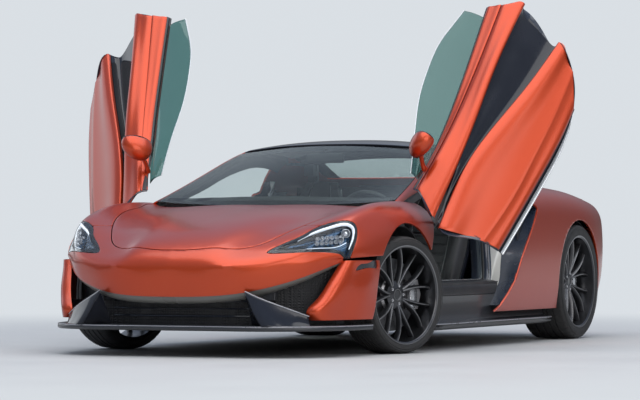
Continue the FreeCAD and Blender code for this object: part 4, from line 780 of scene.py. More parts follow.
door_panel("skin",
           [skin_top + vec(0, -26, 3), skin_top + vec(0, -5, 5), skin_top,
            (skin_top + crease) / 2 + vec(0, 4, 0), crease, (crease + bottom) / 2 + vec(0, 5, 0), bottom,
            bottom + vec(0, -16, -6)],
           PAINT, 7, (4,), replaces=["door_SIDE"])
door_panel("blade",
           [blade_top + vec(0, -6, 2), blade_top + vec(0, 2, 0), (blade_top + blade_low) / 2 + vec(0, 9, 6),
            blade_low + vec(0, -2, 8), blade_low + vec(0, -4, -4), inner("blade_low", 52, 6)],
           PAINT, 7)
door_panel("belt",
           [inner("belt", 16, -2), belt + vec(0, -2, 2), belt * 0.55 + blade_top * 0.45 + vec(0, 3, 1),
            blade_top + vec(0, -4, 6), blade_top + vec(0, -10, 2)],
           PAINT, 5)
door_panel("seal", [inner("belt", 34, -1), inner("belt", 25, -5), inner("belt", 15, -1)], GLOSS, 4, out=UP,
           thick=6, bevel=1)
door_panel("gap", [blade_top + vec(0, -8, 5), blade_top + vec(0, -8, -3)], PLASTIC, 2, thick=3, bevel=0)
door_panel("channel",
           [inner("blade_low", 50, 4), channel_top, (channel_top + channel_low) / 2 + vec(0, -6, 0),
            channel_low, skin_top + vec(0, -30, 2)],
           GLOSS, bevel=0)
door_panel("sill", [bottom + vec(0, -6, -6), (bottom + strip) / 2 + vec(0, -4, 2), strip + vec(0, 6, 4),
                    strip + vec(0, -8, 0)], GLOSS, 4, thick=6, bevel=2)
door_panel("sill_band", [(bottom + strip) / 2 + vec(0, 2, 0), strip * 0.8 + bottom * 0.2 + vec(0, 6, 0),
                         strip + vec(0, 9, 4)], SILVER, 4, thick=3)
door_piece("door_sill_line", tube(strip + vec(0, 3, 3), 6.5), SILVER)

# Inner side of the door: card, edges, arm rest, pull, speaker, trim line, latch and hinge arm

card = [inner("belt", 46), inner("blade_top", 66), inner("blade_low", 110, -20), inner("channel_low", 44, 10),
        inner("crease", 80, -20), inner("bottom", 56)]
door_panel("card", card, HIDE, 7, out=IN, bevel=1)
for end, name, forward in ((0, "front", 1), (-1, "rear", -1)):
    outer_end = curve([rail[end] + IN * 5 for rail in list(line.values())[:-1]], 40)
    inner_end = curve([rail[end] for rail in card], 40)
    middle = inner_end + (outer_end - inner_end) * 0.5 + vec(6 * forward, 0, 0)
    door_panel("edge_" + name, [outer_end, middle, inner_end], JAMB, 4, out=(forward, 0, 0), thick=3, bevel=0)
door_panel("under", [bottom + vec(0, -14, -4), inner("bottom", 56)], JAMB, 4, out=-UP, thick=3, bevel=0)
door_panel("top_cover", [inner("belt", 30), inner("belt", 47)], HIDE, 3, out=UP, thick=3, bevel=0)
REST_PATH = [(470, 812, 560), (380, 770, 560), (200, 752, 566), (20, 756, 590), (-80, 790, 612)]
PULL_PATH = [(330, 782, 640), (322, 748, 655), (230, 738, 668), (140, 744, 684), (128, 786, 690)]
ARM_PATH = [(955, 826, 655), (930, 812, 618), (895, 795, 578), (816, 737, 550), (735, 800, 546),
            (735, 880, 546)]
door_piece("door_arm_rest",
           tube(curve(REST_PATH, 30), np.interp(steps(30), [0, 0.15, 0.85, 1], [8, 26, 26, 8]), 16), HIDE)
door_piece("door_pull", tube(curve(PULL_PATH, 24), 9, 12), SILVER)
speaker = turned([(0.1, 0), (54, 0), (64, 5), (70, 0), (70, -8), (0.1, -8)], (470, 842, 466), IN, 48)
door_piece("door_speaker", speaker, MESH)
door_panel("trim_line", [inner("blade_low", 112, -16), inner("blade_low", 113, -8)], SILVER, 2, out=IN,
           thick=2, bevel=0.6)
door_piece("door_latch", block((-475, -452), (796, 826), (600, 680), 4), STEEL)
door_piece("door_hinge_arm", tube(curve(ARM_PATH, 30), 11, 12), FRAME)

# Side glass, frameless

GLASS_TOP = [(640, 772, 818), (387, 735, 929), (267, 708, 977), (181, 692, 1006), (0, 670, 1047),
             (-164, 661, 1067), (-280, 666, 1061), (-405, 676, 1051)]
glass_top = curve(GLASS_TOP, STATIONS)
glass_foot = curve((belt + vec(0, -25, -8))[3:-3], STATIONS)
pane = between(glass_top, glass_top * 0.5 + glass_foot * 0.5 + vec(0, 11, 3), glass_foot, per=14)
door_piece("side_glass", shell(pane, (0, 1, 0.5), 4, 1), SIDE_GLASS, replaces=["door_glass_SIDE"])
door_piece("side_glass_rim", tube(glass_top + vec(0, -1.5, 0.5), 2.4, 8), SILVER)

# Mirrors: x, y, z, half width and half height of the cup

MIRROR = [(497, 952, 881, 84, 50), (505, 952, 881, 90, 56), (525, 951, 881, 92, 57), (552, 949, 880, 87, 54),
          (580, 945, 878, 72, 44), (598, 941, 876, 52, 31), (608, 938, 875, 32, 19), (612, 936, 875, 8, 5)]
ROUNDNESS = 0.85
rings = []
c, s = np.cos(around(40)), np.sin(around(40))
for x, y, z, wide, high in spline(range(8), MIRROR, np.linspace(0, 7, 36)):
    ring_y, ring_z = y + wide * np.sign(c) * abs(c) ** ROUNDNESS, z + high * np.sign(s) * abs(s) ** ROUNDNESS
    rings.append(np.stack([np.full(40, x), ring_y, ring_z], 1))
rings = np.array(rings)
cup = raw(rings.reshape(-1, 3), quads(36, 40, loop=True) + [tuple(range(35 * 40, 36 * 40))])
door_piece("mirror", cup, PAINT, replaces=["mirror_SIDE"])
plate = turned([(0.1, 0), (0.94, 0), (0.98, 1.5), (0.98, 4), (0.1, 4)], (0, 0, 0), (-1, 0, 0), 48)
plate.data.transform(Matrix.Translation((0.502, 0.952, 0.881)) @ Matrix.Diagonal((1, 82.0, 49.0, 1)))
door_piece("mirror_glass", plate, CHROME)
rim = [(498, 952 + 86 * math.cos(t), 881 + 52 * math.sin(t)) for t in np.linspace(0, 2 * math.pi, 40)]
door_piece("mirror_rim", tube(rim, 4, 8), GLOSS)
stalk = curve([(600, 832, 770), (590, 848, 795), (570, 885, 832), (550, 925, 868)], 20)
door_piece("mirror_stalk", tube(stalk, np.interp(steps(20), [0, 0.3, 1], [17, 12, 15]), 14), PAINT)

# Windscreen, pillars, roof

# x, upper y, z, lower y, z
PILLAR = [(960, 742, 830, 765, 806), (700, 712, 912, 745, 868), (387, 668, 1022, 722, 948),
          (181, 628, 1098, 683, 1026), (0, 596, 1146, 657, 1072), (-164, 585, 1157, 647, 1094),
          (-414, 580, 1143, 655, 1082), (-560, 585, 1122, 668, 1052)]
# x, z on the centre line
ROOF = [(173, 1160), (0, 1188), (-164, 1201), (-414, 1190), (-560, 1170), (-720, 1140)]
DECK = [(-700, 1142), (-800, 1102), (-900, 1062), (-1200, 962), (-1500, 896), (-1900, 858), (-2190, 862)]
# x, shoulder y, z, valley y, z
BUTTRESS = [(-430, 650, 1084, 700, 1020), (-504, 583, 1129, 700, 1012), (-565, 580, 1116, 700, 1004),
            (-720, 572, 1088, 706, 985), (-900, 578, 1044, 714, 962), (-1200, 600, 975, 735, 940),
            (-1500, 625, 922, 745, 914), (-1900, 640, 878, 735, 872), (-2190, 640, 862, 720, 852)]
RAIL_START = 70
ROOF_FRONT = 1188
screen = []
for s in steps(28):
    x = np.linspace(990 - 42 * s * s, 166 - 60 * s * s, 36)
    p = read(PILLAR, x)
    t = steps(36)
    middle_z = 806 + 354 * t + 26 * np.sin(math.pi * t)
    screen.append(np.stack([x, (p[:, 0] - 4) * s, middle_z + (p[:, 1] - middle_z) * s ** 2.2], 1))
dress("windscreen_pane", shell(full_width(surface(screen)), (1, 0, 1), 4, 0), GLASS, replaces=["windscreen"])
x = np.linspace(955, -495, 80)
p = read(PILLAR, x)
high = np.stack([x, p[:, 0], p[:, 1]], 1)
low = np.stack([x, p[:, 2], p[:, 3]], 1)
post = surface(between(high, high * 0.5 + low * 0.5 + vec(0, 4, 5), low))
ahead_of_rail = post[0][:, 0] - RAIL_START
both("screen_pillar", shell(drop(post, ahead_of_rail), (0, 1, 1), 10, 1.5), PAINT)
both("roof_rail", shell(drop(post, -ahead_of_rail - 3), (0, 1, 1), 10, 1.5), GLOSS, replaces=["pillars"])
both("pillar_seal", tube(low + vec(0, -4, -6), 6), PLASTIC)
roof = []
for s in steps(26):
    x = np.linspace(100 - 58 * s * s, -698, 50)
    side = np.where((x > -500)[:, None], read(PILLAR, x)[:, :2], read(BUTTRESS, x)[:, :2])
    crown = read(ROOF, x)[:, 0]
    crown = np.where(x > 0, np.minimum(crown, ROOF_FRONT - x * 0.16), crown)
    roof.append(np.stack([x, (side[:, 0] - 5) * s, crown + (side[:, 1] - crown) * s ** 2.4], 1))
dress("roof", shell(full_width(surface(roof)), UP, 12, 2), GLOSS, replaces=["roof"])

# Rear quarters: shoulder, valley, crest and flank, with the side intake behind the door

# x, widest y, crest z
SIDE = [(985, 946, 822), (770, 940, 812), (490, 936, 790), (0, 938, 840), (-490, 948, 905), (-760, 952, 926),
        (-1000, 955, 930), (-1300, 957, 921), (-1460, 957, 912), (-1700, 950, 888), (-1900, 925, 868),
        (-2100, 870, 853), (-2200, 830, 848)]
# how far below the crest, how far in from the widest place
FLANK = [(0, -150), (22, -92), (62, -48), (130, -18), (240, -3), (400, 2), (520, 0), (640, -10), (735, -32)]
FLANK_HEIGHT = 735
TAIL_SEAM = -2112
DOOR_REAR = [(-436, 1010), (-480, 968), (-510, 925), (-573, 884), (-700, 830), (-762, 804), (-762, 797),
             (-700, 737), (-470, 515), (-357, 368), (-191, 232), (-100, 190), (300, 100), (300, 1100)]
ANYWHERE = 400


def section(x):
    """The body's side at one place along it, from the roof shoulder down to the foot."""
    shoulder_y, shoulder_z, valley_y, valley_z = read(BUTTRESS, x)[0]
    wide, crest_z = read(SIDE, x)[0]
    tall = crest_z - np.interp(x, [TAIL_SEAM, -1850, -1300, -436], [350, 200, 197, 197])
    rows = [(x, shoulder_y, shoulder_z), (x, (shoulder_y + valley_y) / 2, shoulder_z * 0.4 + valley_z * 0.6),
            (x, valley_y, valley_z), (x, (valley_y + wide - 150) / 2 + 8, valley_z * 0.45 + crest_z * 0.55)]
    return np.array(rows + [(x, wide + side, crest_z - down / FLANK_HEIGHT * tall) for down, side in FLANK])


def side_y(x, z):
    rows = section(x)[::-1]
    return float(np.interp(z, rows[:, 2], rows[:, 1]))


quarter = surface(across(np.array([section(x) for x in np.linspace(-112, TAIL_SEAM, 126)]), 5))
qx, qy, qz = quarter[0].T
in_arch = np.where(qy > 800, arch_field(quarter[0], REAR_ARCH), ANYWHERE)
in_door = np.where(qy > 740, -outline_field(quarter[0][:, [0, 2]], DOOR_REAR) - 2, ANYWHERE)
over_glass = np.where(qz > 940, (qz - 956) * 0.705 - 486 - qx, ANYWHERE)
quarter_skin = shell(drop(quarter, in_arch, in_door, over_glass), (0, 1, 1), 12, 2)
both("rear_quarter", quarter_skin, PAINT, angle=40, replaces=["quarter_SIDE"])

# Side intake and door opening, along the mouth's outline of x and z

mouth = np.concatenate([curve([(-482, 964), (-514, 925), (-577, 886), (-702, 834), (-764, 803)], 40),
                        curve([(-764, 799), (-702, 735), (-472, 513), (-359, 366), (-191, 230)], 60)])
depth = np.interp(steps(100), [0, 0.1, 0.25, 0.4, 0.7, 0.84, 1], [45, 90, 130, 120, 138, 100, 88])
mouth_y = np.array([side_y(x, z) for x, z in mouth])
post_front = curve([(-482, 964), (-456, 860), (-444, 700), (-424, 540), (-364, 368), (-193, 232)], 100)
post_y = np.interp(post_front[:, 1], [232, 368, 540, 700, 860, 964], [836, 790, 764, 744, 704, 670])
front_edge = np.stack([post_front[:, 0], post_y, post_front[:, 1]], 1)
wall = [np.stack([mouth[:, 0] - back, mouth_y - deep, mouth[:, 1]], 1)
        for back, deep in ((0, 7), (4, depth * 0.45), (2, depth), (0, depth))]
both("side_intake_wall", shell(between(*wall[:3], per=5), -UP, 3, 0), JAMB)
post_face = between(front_edge, (front_edge + wall[3]) / 2 - vec(0, 14, 0), wall[3], per=8)
# The post face's pale grey is painted reflected light.
both("door_jamb", shell(post_face, -IN, 3, 0), PALE_PAINTED_LIGHT, angle=60)
mesh_top = curve([(-602, 875), (-640, 859), (-690, 837), (-752, 804)], 20)
mesh_low = curve([(-560, 604), (-615, 660), (-690, 730), (-752, 796)], 20)
mesh_rows = []
for (x_top, z_top), (x_low, z_low) in zip(mesh_top, mesh_low):
    y_top, y_low = side_y(x_top, z_top), side_y(x_low, z_low)
    mesh_rows.append([(x_top, y_top - 66, z_top), ((x_top + x_low) / 2, y_low - 74, (z_top + z_low) / 2),
                      (x_low, y_low - 70, z_low)])
both("side_intake_mesh", shell(across(mesh_rows, 8), -IN, 4, 0), MESH)
striker = turned([(0.1, 0), (0.8, 0), (0.86, 5), (1, 5), (1, -3), (0.1, -3)], (0, 0, 0), (0, 1, 0), 40)
striker.data.transform(Matrix.Translation((-0.5, 0.758, 0.69)) @ Matrix.Rotation(0.35, 4, "Y")
                       @ Matrix.Diagonal((18.0, 1, 40.0, 1)))
both("door_jamb_striker", striker, PLASTIC)
post_trim = [front_edge[8:92] + vec(x, y, 0) for x, y in ((0, 0), (22, -22), (30, -70), (14, -120))]
both("door_post_trim", shell(between(*post_trim, per=5), (1, 0, 0), 3, 0), JAMB, angle=60)
both("door_post_seal", tube(front_edge[6:94] + vec(27, -40, 0), 8, 12), PLASTIC)
# A thin grey line along the door post is a painted highlight, standing in for the white reflection on its
# curve.
both("door_post_line", tube(front_edge[6:94] + vec(14, -9, 0), 4, 8), EDGE)

# Rear deck: rear glass with its frame, engine cover with its louvres and spine

GLASS_END = -1080
COVER_END = -2122
LOUVRES = range(-1240, -1800, -92)
deck_x = np.linspace(-704, -2185, 100)
shoulder = read(BUTTRESS, deck_x)
centre = read(DECK, deck_x)[:, 0]
deck = np.array([np.stack([deck_x, shoulder[:, 0] * s, centre + (shoulder[:, 1] - centre) * s ** 2.6], 1)
                 for s in steps(26)])
on_glass = deck_x > GLASS_END
dress("rear_pane", shell(full_width(surface(deck[:22, on_glass])), UP, 5, 1), GLASS, replaces=["rear_glass"])
both("rear_glass_frame", shell(deck[21:, on_glass], UP, 8, 1.5), GLOSS)
cover = surface(deck[:, (deck_x < GLASS_END - 4) & (deck_x > COVER_END)])
slots = [-outline_field(cover[0][:, :2], [(x, -50), (x, 440), (x - 34, 420), (x - 34, -50)]) for x in LOUVRES]
dress("cover_skin", shell(full_width(drop(cover, *slots)), UP, 10, 2), PAINT, angle=40,
      replaces=["engine_cover"])
louvres = []
for x in LOUVRES:
    z, z_end = read(DECK, [x, x - 60])[:, 0]
    rows = []
    for y in np.linspace(-436, 436, 24):
        lift = (abs(y) / 600) ** 2.6 * 12
        rows.append([(x + 6, y, z - 4 + lift), (x - 26, y, z - 30 + lift), (x - 62, y, z_end - 34 + lift)])
    louvres.append(shell(rows, UP, 4, 1))
dress("engine_louvres", joined(louvres), GLOSS)
spine = curve([(-1100, 0, 999), (-1300, 0, 935), (-1600, 0, 887), (-1900, 0, 861), (-2110, 0, 861)], 40)
dress("engine_cover_spine", tube(spine, 9, 12), GLOSS)

# Tail: skin with spoiler edge, mesh, lamps, diffuser and exhaust

# x on the centre line, height, how far the row follows the deck's edge
TAIL = [(-2126, 851, 1), (-2190, 850, 0.8), (-2244, 848, 0.4), (-2260, 838, 0.1), (-2252, 815, 0),
        (-2236, 780, 0), (-2238, 700, 0), (-2246, 640, 0), (-2250, 560, 0), (-2246, 500, 0), (-2231, 440, 0),
        (-2211, 380, 0), (-2195, 336, 0)]
TAIL_ROUND = 5
# outlines of y and z
GRILLE_HOLE = [(-10, 528), (-10, 716), (560, 716), (590, 690), (600, 600), (560, 540), (520, 528)]
LAMP_HOLE = [(330, 757), (345, 778), (560, 786), (740, 784), (815, 772), (834, 740), (838, 690), (822, 690),
             (806, 738), (740, 748), (520, 744), (350, 742)]
GRILLE_RING = [(-596, 620), (-560, 706), (0, 712), (560, 706), (596, 620), (540, 538), (0, 532), (-540, 538)]
TAIL_LINE = [(344, 763), (520, 768), (700, 768), (786, 761), (818, 738), (829, 698)]
PIPE_Y, PIPE_Z, PIPE_HOLE = 300, 472, 68
deck_side, deck_rise = read(BUTTRESS, TAIL_SEAM)[0][:2]
tail_depths, tail_heights = np.array(TAIL[:0:-1])[:, :2].T


def tail_x(y, z):
    """Where the tail's skin is, at a place across and up."""
    centre_x = np.interp(z, tail_heights, tail_depths)
    return centre_x + (abs(y) / side_y(TAIL_SEAM, z)) ** TAIL_ROUND * (TAIL_SEAM - centre_x)


def tail_line(outline, out):
    """A line of y and z laid on the tail's skin."""
    return np.array([(tail_x(y, z) + out, y, z) for y, z in outline])


def tail_grid(out, across_y, up_z):
    return [tail_line([(y, z) for z in up_z], out) for y in across_y]


tail_rows = []
for s in steps(50):
    row = []
    for x, z, follow in TAIL:
        wide = side_y(TAIL_SEAM, z)
        rise = np.interp(wide * s, [0, deck_side, 716], [deck_rise - 4, deck_rise, 853]) - 851
        row.append((x + s ** TAIL_ROUND * (TAIL_SEAM - x), wide * s, z + follow * rise))
    tail_rows.append(row)
tail = surface(across(tail_rows, 4))
from_behind = tail[0][:, 1:]
tail_skin = drop(tail, -outline_field(from_behind, GRILLE_HOLE),
                 -outline_field(from_behind, rounded(LAMP_HOLE, 90)),
                 np.hypot(from_behind[:, 0] - PIPE_Y, from_behind[:, 1] - PIPE_Z) - PIPE_HOLE)
dress("tail_skin", shell(full_width(tail_skin), (-1, 0, 0), 10, 2.5), PAINT, angle=40,
      replaces=["rear_bumper"])
mesh_back = tail_grid(26, np.linspace(-606, 606, 40), np.linspace(520, 722, 12))
dress("tail_mesh", shell(mesh_back, (-1, 0, 0), 5, 0), MESH, replaces=["rear_grille"])
ring_path = tail_line(rounded(GRILLE_RING, 120), 2)
dress("tail_mesh_frame", tube(np.concatenate([ring_path, ring_path[:1]]), 7), GLOSS)
lamp_size = np.interp(steps(60), [0, 0.15, 0.85, 1], [3, 9, 9, 3])
both("tail_lamp", tube(tail_line(curve(TAIL_LINE, 60), 3), lamp_size, 12), RED, replaces=["tail_lamps"])
housing = tail_grid(22, np.linspace(320, 826, 30), np.linspace(684, 794, 10))
both("tail_housing", shell(housing, (-1, 0, 0), 4, 0), GLOSS)
floor_line = curve([(-1852, 0, 152), (-1960, 0, 168), (-2080, 0, 202), (-2180, 0, 240), (-2236, 0, 266)], 30)
diffuser = surface([[point + vec(0, y, 0) for y in np.linspace(0, 636, 20)] for point in floor_line])
dress("diffuser_skin", shell(full_width(diffuser), -UP, 8, 1), CARBON, replaces=["diffuser"])
face_rows = []
for y in np.linspace(-806, 806, 60):
    rise = 62 * min(1, max(0, (abs(y) - 590) / 216)) ** 1.4
    back_x = tail_x(y, 340)
    face_rows.append([(back_x - 26 + rise * 0.4, y, 268 + rise),
                      (back_x - 32 + rise * 0.4, y, 292 + rise * 0.8),
                      (back_x - 16 + rise * 0.2, y, 326 + rise * 0.3), (back_x + 6, y, 346)])
dress("diffuser_face", shell(across(face_rows, 4), (-1, 0, 0), 6, 1.5), CARBON)
STRAKE = [(-1880, 152), (-2000, 152), (-2150, 176), (-2244, 214), (-2244, 262), (-2080, 200)]
strakes = [capped(np.array([[(x, y + w, z) for x, z in STRAKE] for w in (-3, 3)], float))
           for y in (-520, -340, -170, 0, 170, 340, 520)]
dress("diffuser_strakes", joined(strakes), CARBON)
PIPE = [(46, 0), (53, 0), (56, -4), (56, -26), (54, -200), (49, -200), (47, -20)]
pipes, surrounds = [], []
for y in (-PIPE_Y, PIPE_Y):
    pipes.append(turned(PIPE, (-2258, y, PIPE_Z), (-1, 0, 0), 48))
    pipes.append(turned([(34, 30), (36, 30), (36, 120), (34, 120)], (-2258, y, PIPE_Z), (1, 0, 0), 40))
    surrounds.append(turned([(59, 6), (66, 2), (74, 8), (70, 60), (59, 60)], (-2250, y, PIPE_Z), (1, 0, 0),
                            48))
dress("exhaust_tips", joined(pipes), STEEL, replaces=["exhaust"])
dress("exhaust_surround", joined(surrounds), GLOSS)

# Side skirts

# y and z down the skirt's face, y measured from the tip where it is under zero
SKIRT = [(836, 298), (848, 296), (856, 190), (866, 160), (882, 152), (-22, 152), (-4, 151), (0, 146),
         (-6, 140), (-20, 137), (916, 130), (908, 119), (840, 118)]


def skirt_tip(x):
    return 940 - 22 * max(0, (x - 600) / 200) ** 2 - 20 * max(0, (-x - 850) / 190) ** 2


skirt = [[(x, y if y > 0 else skirt_tip(x) + y, z) for y, z in SKIRT] for x in np.linspace(800, -1040, 60)]
both("side_skirt", shell(across(skirt, 3, (1, 3)), -IN, 4, 0), CARBON, replaces=["side_skirts"])
skirt_line = [(x, skirt_tip(x) - 2, 146) for x in np.linspace(796, -1036, 60)]
both("side_skirt_line", tube(skirt_line, 3, 8), EDGE)

# Wheels: twin-spoke alloy, tyre with tread and a plain sidewall, disc, hub and caliper

# middle, radius and width of the tyre, radius of the rim and of the disc
WHEELS = {"front": ((1210, 786.5, 318), 318, 225, 265, 197), "rear": ((-1460, 809, 352), 352, 285, 280, 190)}
REST_STEER = math.radians(16.8)
KING_PIN_OFFSET = 50
SPOKE_PAIRS = 7
SPOKE_START = 52
SPOKE_INSET = 40
BOLTS = 5
TREAD_GROOVES = [(-0.46, -0.39), (-0.13, -0.06), (0.2, 0.27), (0.5, 0.56)]
GROOVE = 7
TREAD_STEPS = 240
STEPS_PER_BLOCK = 6
NOTCH = 4.5
BOLT_CIRCLE = 50
DISC_HOLES = 36
CALIPER_REACH = 0.42


def tyre_mesh(centre, out, radius, half, rim):
    """A tyre whose tread carries grooves and shoulder blocks."""
    side = [(rim + 1, -half + 14), (rim + 6, -half + 4), (rim + 18, -half + 1),
            ((radius + rim) / 2, -half + 0.5), (radius - 15, -half + 6), (radius - 6, -half + 15),
            (radius - 2.2, -half + 26)]
    tread = []
    for a, b in TREAD_GROOVES:
        tread += [(radius - 0.6, half * a), (radius - GROOVE, half * a + 2), (radius - GROOVE, half * b - 2),
                  (radius - 0.6, half * b)]
    inside = [(rim - 1, half - 20), (rim - 2, 0), (rim - 1, -half + 20)]
    ring = np.array(side + tread + [(r, -w) for r, w in side[::-1]] + inside)
    spokes = spokes_about(out, TREAD_STEPS)
    notch = np.where(np.arange(TREAD_STEPS) % STEPS_PER_BLOCK == 0, NOTCH, 0.0)
    points = []
    for r, w in ring:
        depth = notch if abs(w) > half * 0.58 and r > radius - 8 else 0 * notch
        points.append(centre + (r - depth)[:, None] * spokes + out * w)
    return raw(np.array(points).reshape(-1, 3), quads(len(ring), TREAD_STEPS, loop=True, ring=True))


def placed(points, centre, out):
    """Points given as across, up and outwards, placed on a wheel."""
    p = np.asarray(points, float)
    return centre + p[..., 0:1] * np.cross(out, UP) + p[..., 1:2] * UP + p[..., 2:3] * out


def spoke_set(centre, out, rim, face):
    """Spokes in pairs: a broad flank and a machined front edge for each arm."""
    flanks, fronts = [], []
    for k in range(SPOKE_PAIRS):
        for arm in (-1, 1):
            flank, front_strip = [], []
            for t in steps(12):
                r = SPOKE_START + (rim - 14 - SPOKE_START) * t
                swing = (2 * math.pi * k + arm * (0.55 + 1.3 * t ** 1.2)) / SPOKE_PAIRS + 0.05 * t
                deep = face - 3 - 32 * (1 - t) ** 2.2 - 5 * t ** 4
                wide = 14 - 5.5 * t + 6 * t ** 6
                c, s = math.cos(swing), math.sin(swing)
                for rows, shape in (
                        (flank, [(-1, -26), (-0.75, -7), (-0.32, 0), (0.32, 0), (0.75, -7), (1, -26)]),
                        (front_strip, [(-0.3, -0.3), (-0.22, 1.2), (0.22, 1.2), (0.3, -0.3)])):
                    rows.append([(r * c - s * wide * w, r * s + c * wide * w, deep + d) for w, d in shape])
            flanks.append(capped(placed(flank, centre, out), -1))
            fronts.append(capped(placed(front_strip, centre, out), -1))
    return joined(flanks), joined(fronts)


def caliper_mesh(centre, out, disc, face, angle):
    """A caliper that clasps the disc about an angle from the wheel's own side axis."""
    rows = []
    for t in np.linspace(-CALIPER_REACH, CALIPER_REACH, 16):
        end = abs(t) / CALIPER_REACH
        keep = 1 - 0.25 * end ** 4
        shape = [(disc + 16, 58), (disc - 20, 46 + 6 * end ** 2), (disc - 64 * keep, 48),
                 (disc - 66 * keep, 66), (disc - 66 * keep, 71), (disc + 5, 71), (disc + 5, 107),
                 (disc - 60 * keep, 107), (disc - 60 * keep, 128), (disc + 16, 128)]
        rows.append([(r * math.cos(angle + t), r * math.sin(angle + t), face - w) for r, w in shape])
    return bevelled(capped(placed(rows, centre, out), -1), 3, 30)


def wheel(axle, side, sign):
    name = f"{axle}_{side}"
    body = "wheel_" + name
    middle, radius, width, rim, disc = WHEELS[axle]
    half = width / 2
    face = half - SPOKE_INSET
    steered = axle == "front"
    lock = REST_STEER if steered else 0
    out = vec(math.sin(lock) * sign, math.cos(lock) * sign, 0)
    centre = vec(*middle) * vec(1, sign, 1) + out * (KING_PIN_OFFSET if steered else 0)

    def ring(piece, profile, mat, count=120, slot=None, angle=32, replaces=()):
        """A turned part of the wheel. Its profile is radius and depth below the spokes' face."""
        obj = turned([(r, face - deep) for r, deep in profile], centre, out, count)
        dress(f"{piece}_{name}", obj, mat, body, angle, replaces)

    def about(radius, turn, deep):
        return placed([(radius * math.cos(turn), radius * math.sin(turn), face - deep)], centre, out)[0]

    dress(f"tyre_{name}_tread", tyre_mesh(centre, out, radius, half, rim), RUBBER, body=body, angle=25,
          replaces=["tyre_" + name])
    wall = (radius + rim) / 2
    ring("tyre_ring", [(wall + 8, -39.4), (wall + 9, -40.4), (wall + 12, -40.4), (wall + 13, -39.4)], RUBBER)
    barrel = [(rim + 2, half - 11), (rim + 6, half - 7), (rim + 4, half - 4), (rim - 2, half - 5),
              (rim - 10, half - 12), (rim - 13, half - 40), (rim - 20, 0), (rim - 14, -half + 14),
              (rim + 4, -half + 8), (rim + 3, -half + 12), (rim - 10, -half + 18), (rim - 15, 0),
              (rim - 4, half - 34), (rim, half - 14)]
    dress(f"rim_{name}_barrel", turned(barrel, centre, out, 120), ALLOY, body=body, angle=40,
          replaces=["rim_" + name])
    ring("rim_edge", [(rim - 3, -35.4), (rim + 3.4, -36.4), (rim + 3.4, -34.5), (rim - 3, -34)], SPOKE_EDGE,
         angle=40)
    flanks, fronts = spoke_set(centre, out, rim, face)
    dress("rim_spokes_" + name, flanks, ALLOY, body=body, angle=40)
    dress("rim_spoke_edges_" + name, fronts, SPOKE_EDGE, body=body, angle=40)
    ring("rim_centre",
         [(0.1, 33), (24, 33), (27, 30), (30, 33), (34, 28), (58, 33), (76, 40), (80, 62), (0.1, 62)], ALLOY,
         64, angle=40)
    ring("rim_cap_ring", [(27, 30.5), (28, 28), (31, 28), (32, 30.5)], SPOKE_EDGE, 64)
    nut = [(0.1, 0), (3, 0), (3, 3), (5, 5), (8, 5), (9, 2), (9, -6), (0.1, -6)]
    nuts = [turned(nut, about(BOLT_CIRCLE, 2 * math.pi * (k + 0.5) / BOLTS, 34), out,
                   12) for k in range(BOLTS)]
    dress("wheel_bolts_" + name, joined(nuts), CAST, body=body)
    ring("disc_face",
         [(92, 73), (disc, 73), (disc, 83), (disc - 4, 84), (disc - 4, 94), (disc, 95), (disc, 105),
          (92, 105)],
         DISC, replaces=["hub_disc_" + name])
    ring("disc_hat", [(30, 62), (84, 62), (94, 70), (96, 80), (92, 104), (30, 104)], CAST, 64, "disc_iron")
    # Each drilled hole is a small black plug on the disc's face: painted shade in place of the hole's dark
    # inside.
    hole = [(0.1, 0.2), (3.2, 0.2), (3.2, -2), (0.1, -2)]
    hole_shades = [turned(hole, about(disc - inset, 2 * math.pi * (k + shift) / DISC_HOLES, 73), out, 8)
             for k in range(DISC_HOLES) for inset, shift in ((22, 0), (50, 0.3), (78, 0.6))]
    dress("disc_hole_shades_" + name, joined(hole_shades), PLASTIC, body)
    angle = (math.pi if side == "left" else 0.0) + (0.1 if steered else -0.1)
    dress("caliper_" + name, caliper_mesh(centre, out, disc, face, angle), SILVER, angle=40,
          body="steer_" + side if steered else "chassis")


for side, sign in (("left", 1), ("right", -1)):
    wheel("front", side, sign)
    wheel("rear", side, sign)

# Seats: sewn covers over a hard shell

# x, z, half width, how far the side bolsters stand proud
SEAT = [(216, 262, 196, 0), (224, 296, 204, 6), (206, 322, 214, 22), (150, 331, 222, 38), (40, 320, 236, 50),
        (-100, 303, 238, 52), (-196, 294, 236, 50), (-246, 318, 232, 48), (-286, 402, 240, 60),
        (-335, 502, 248, 66), (-394, 622, 250, 62), (-440, 740, 226, 46), (-466, 812, 176, 24),
        (-492, 884, 124, 8), (-512, 940, 108, 2), (-530, 958, 100, 0), (-556, 950, 96, 0)]
# share of the half width, share of the bolster, added offset
SEAT_SECTION = [(0, 0, 7), (0.25, 0, 6), (0.47, 0, 2), (0.54, 0, -4), (0.56, 0.02, -8), (0.585, 0.12, -3),
                (0.67, 0.55, 0), (0.79, 1, 0), (0.89, 1, 0), (0.96, 0.84, 0), (1.0, 0.5, 0),
                (1.012, 0.1, -12), (1.0, 0, -44)]
# share of the half width, offset behind the back
BACK_SHELL = [(-1.03, -26), (-1.04, -70), (-0.8, -105), (-0.4, -122), (0, -126), (0.4, -122), (0.8, -105),
              (1.04, -70), (1.03, -26)]
SEAT_STATIONS = 260
SEAT_Y = 370
PIPING = 0.556
CHANNEL_DEPTH, CHANNEL_WIDTH = 6.5, 5.0
# how far along the seat each sewn channel lies
CHANNELS = [*range(115, 520, 62), *range(640, 1010, 62)]
seat_path = curve(SEAT, SEAT_STATIONS)
spine = np.stack([seat_path[:, 0], np.zeros(SEAT_STATIONS), seat_path[:, 1]], 1)
forward = np.gradient(spine, axis=0)
forward /= np.linalg.norm(forward, axis=1)[:, None]
seat_normal = np.stack([forward[:, 2], np.zeros(SEAT_STATIONS), -forward[:, 0]], 1)


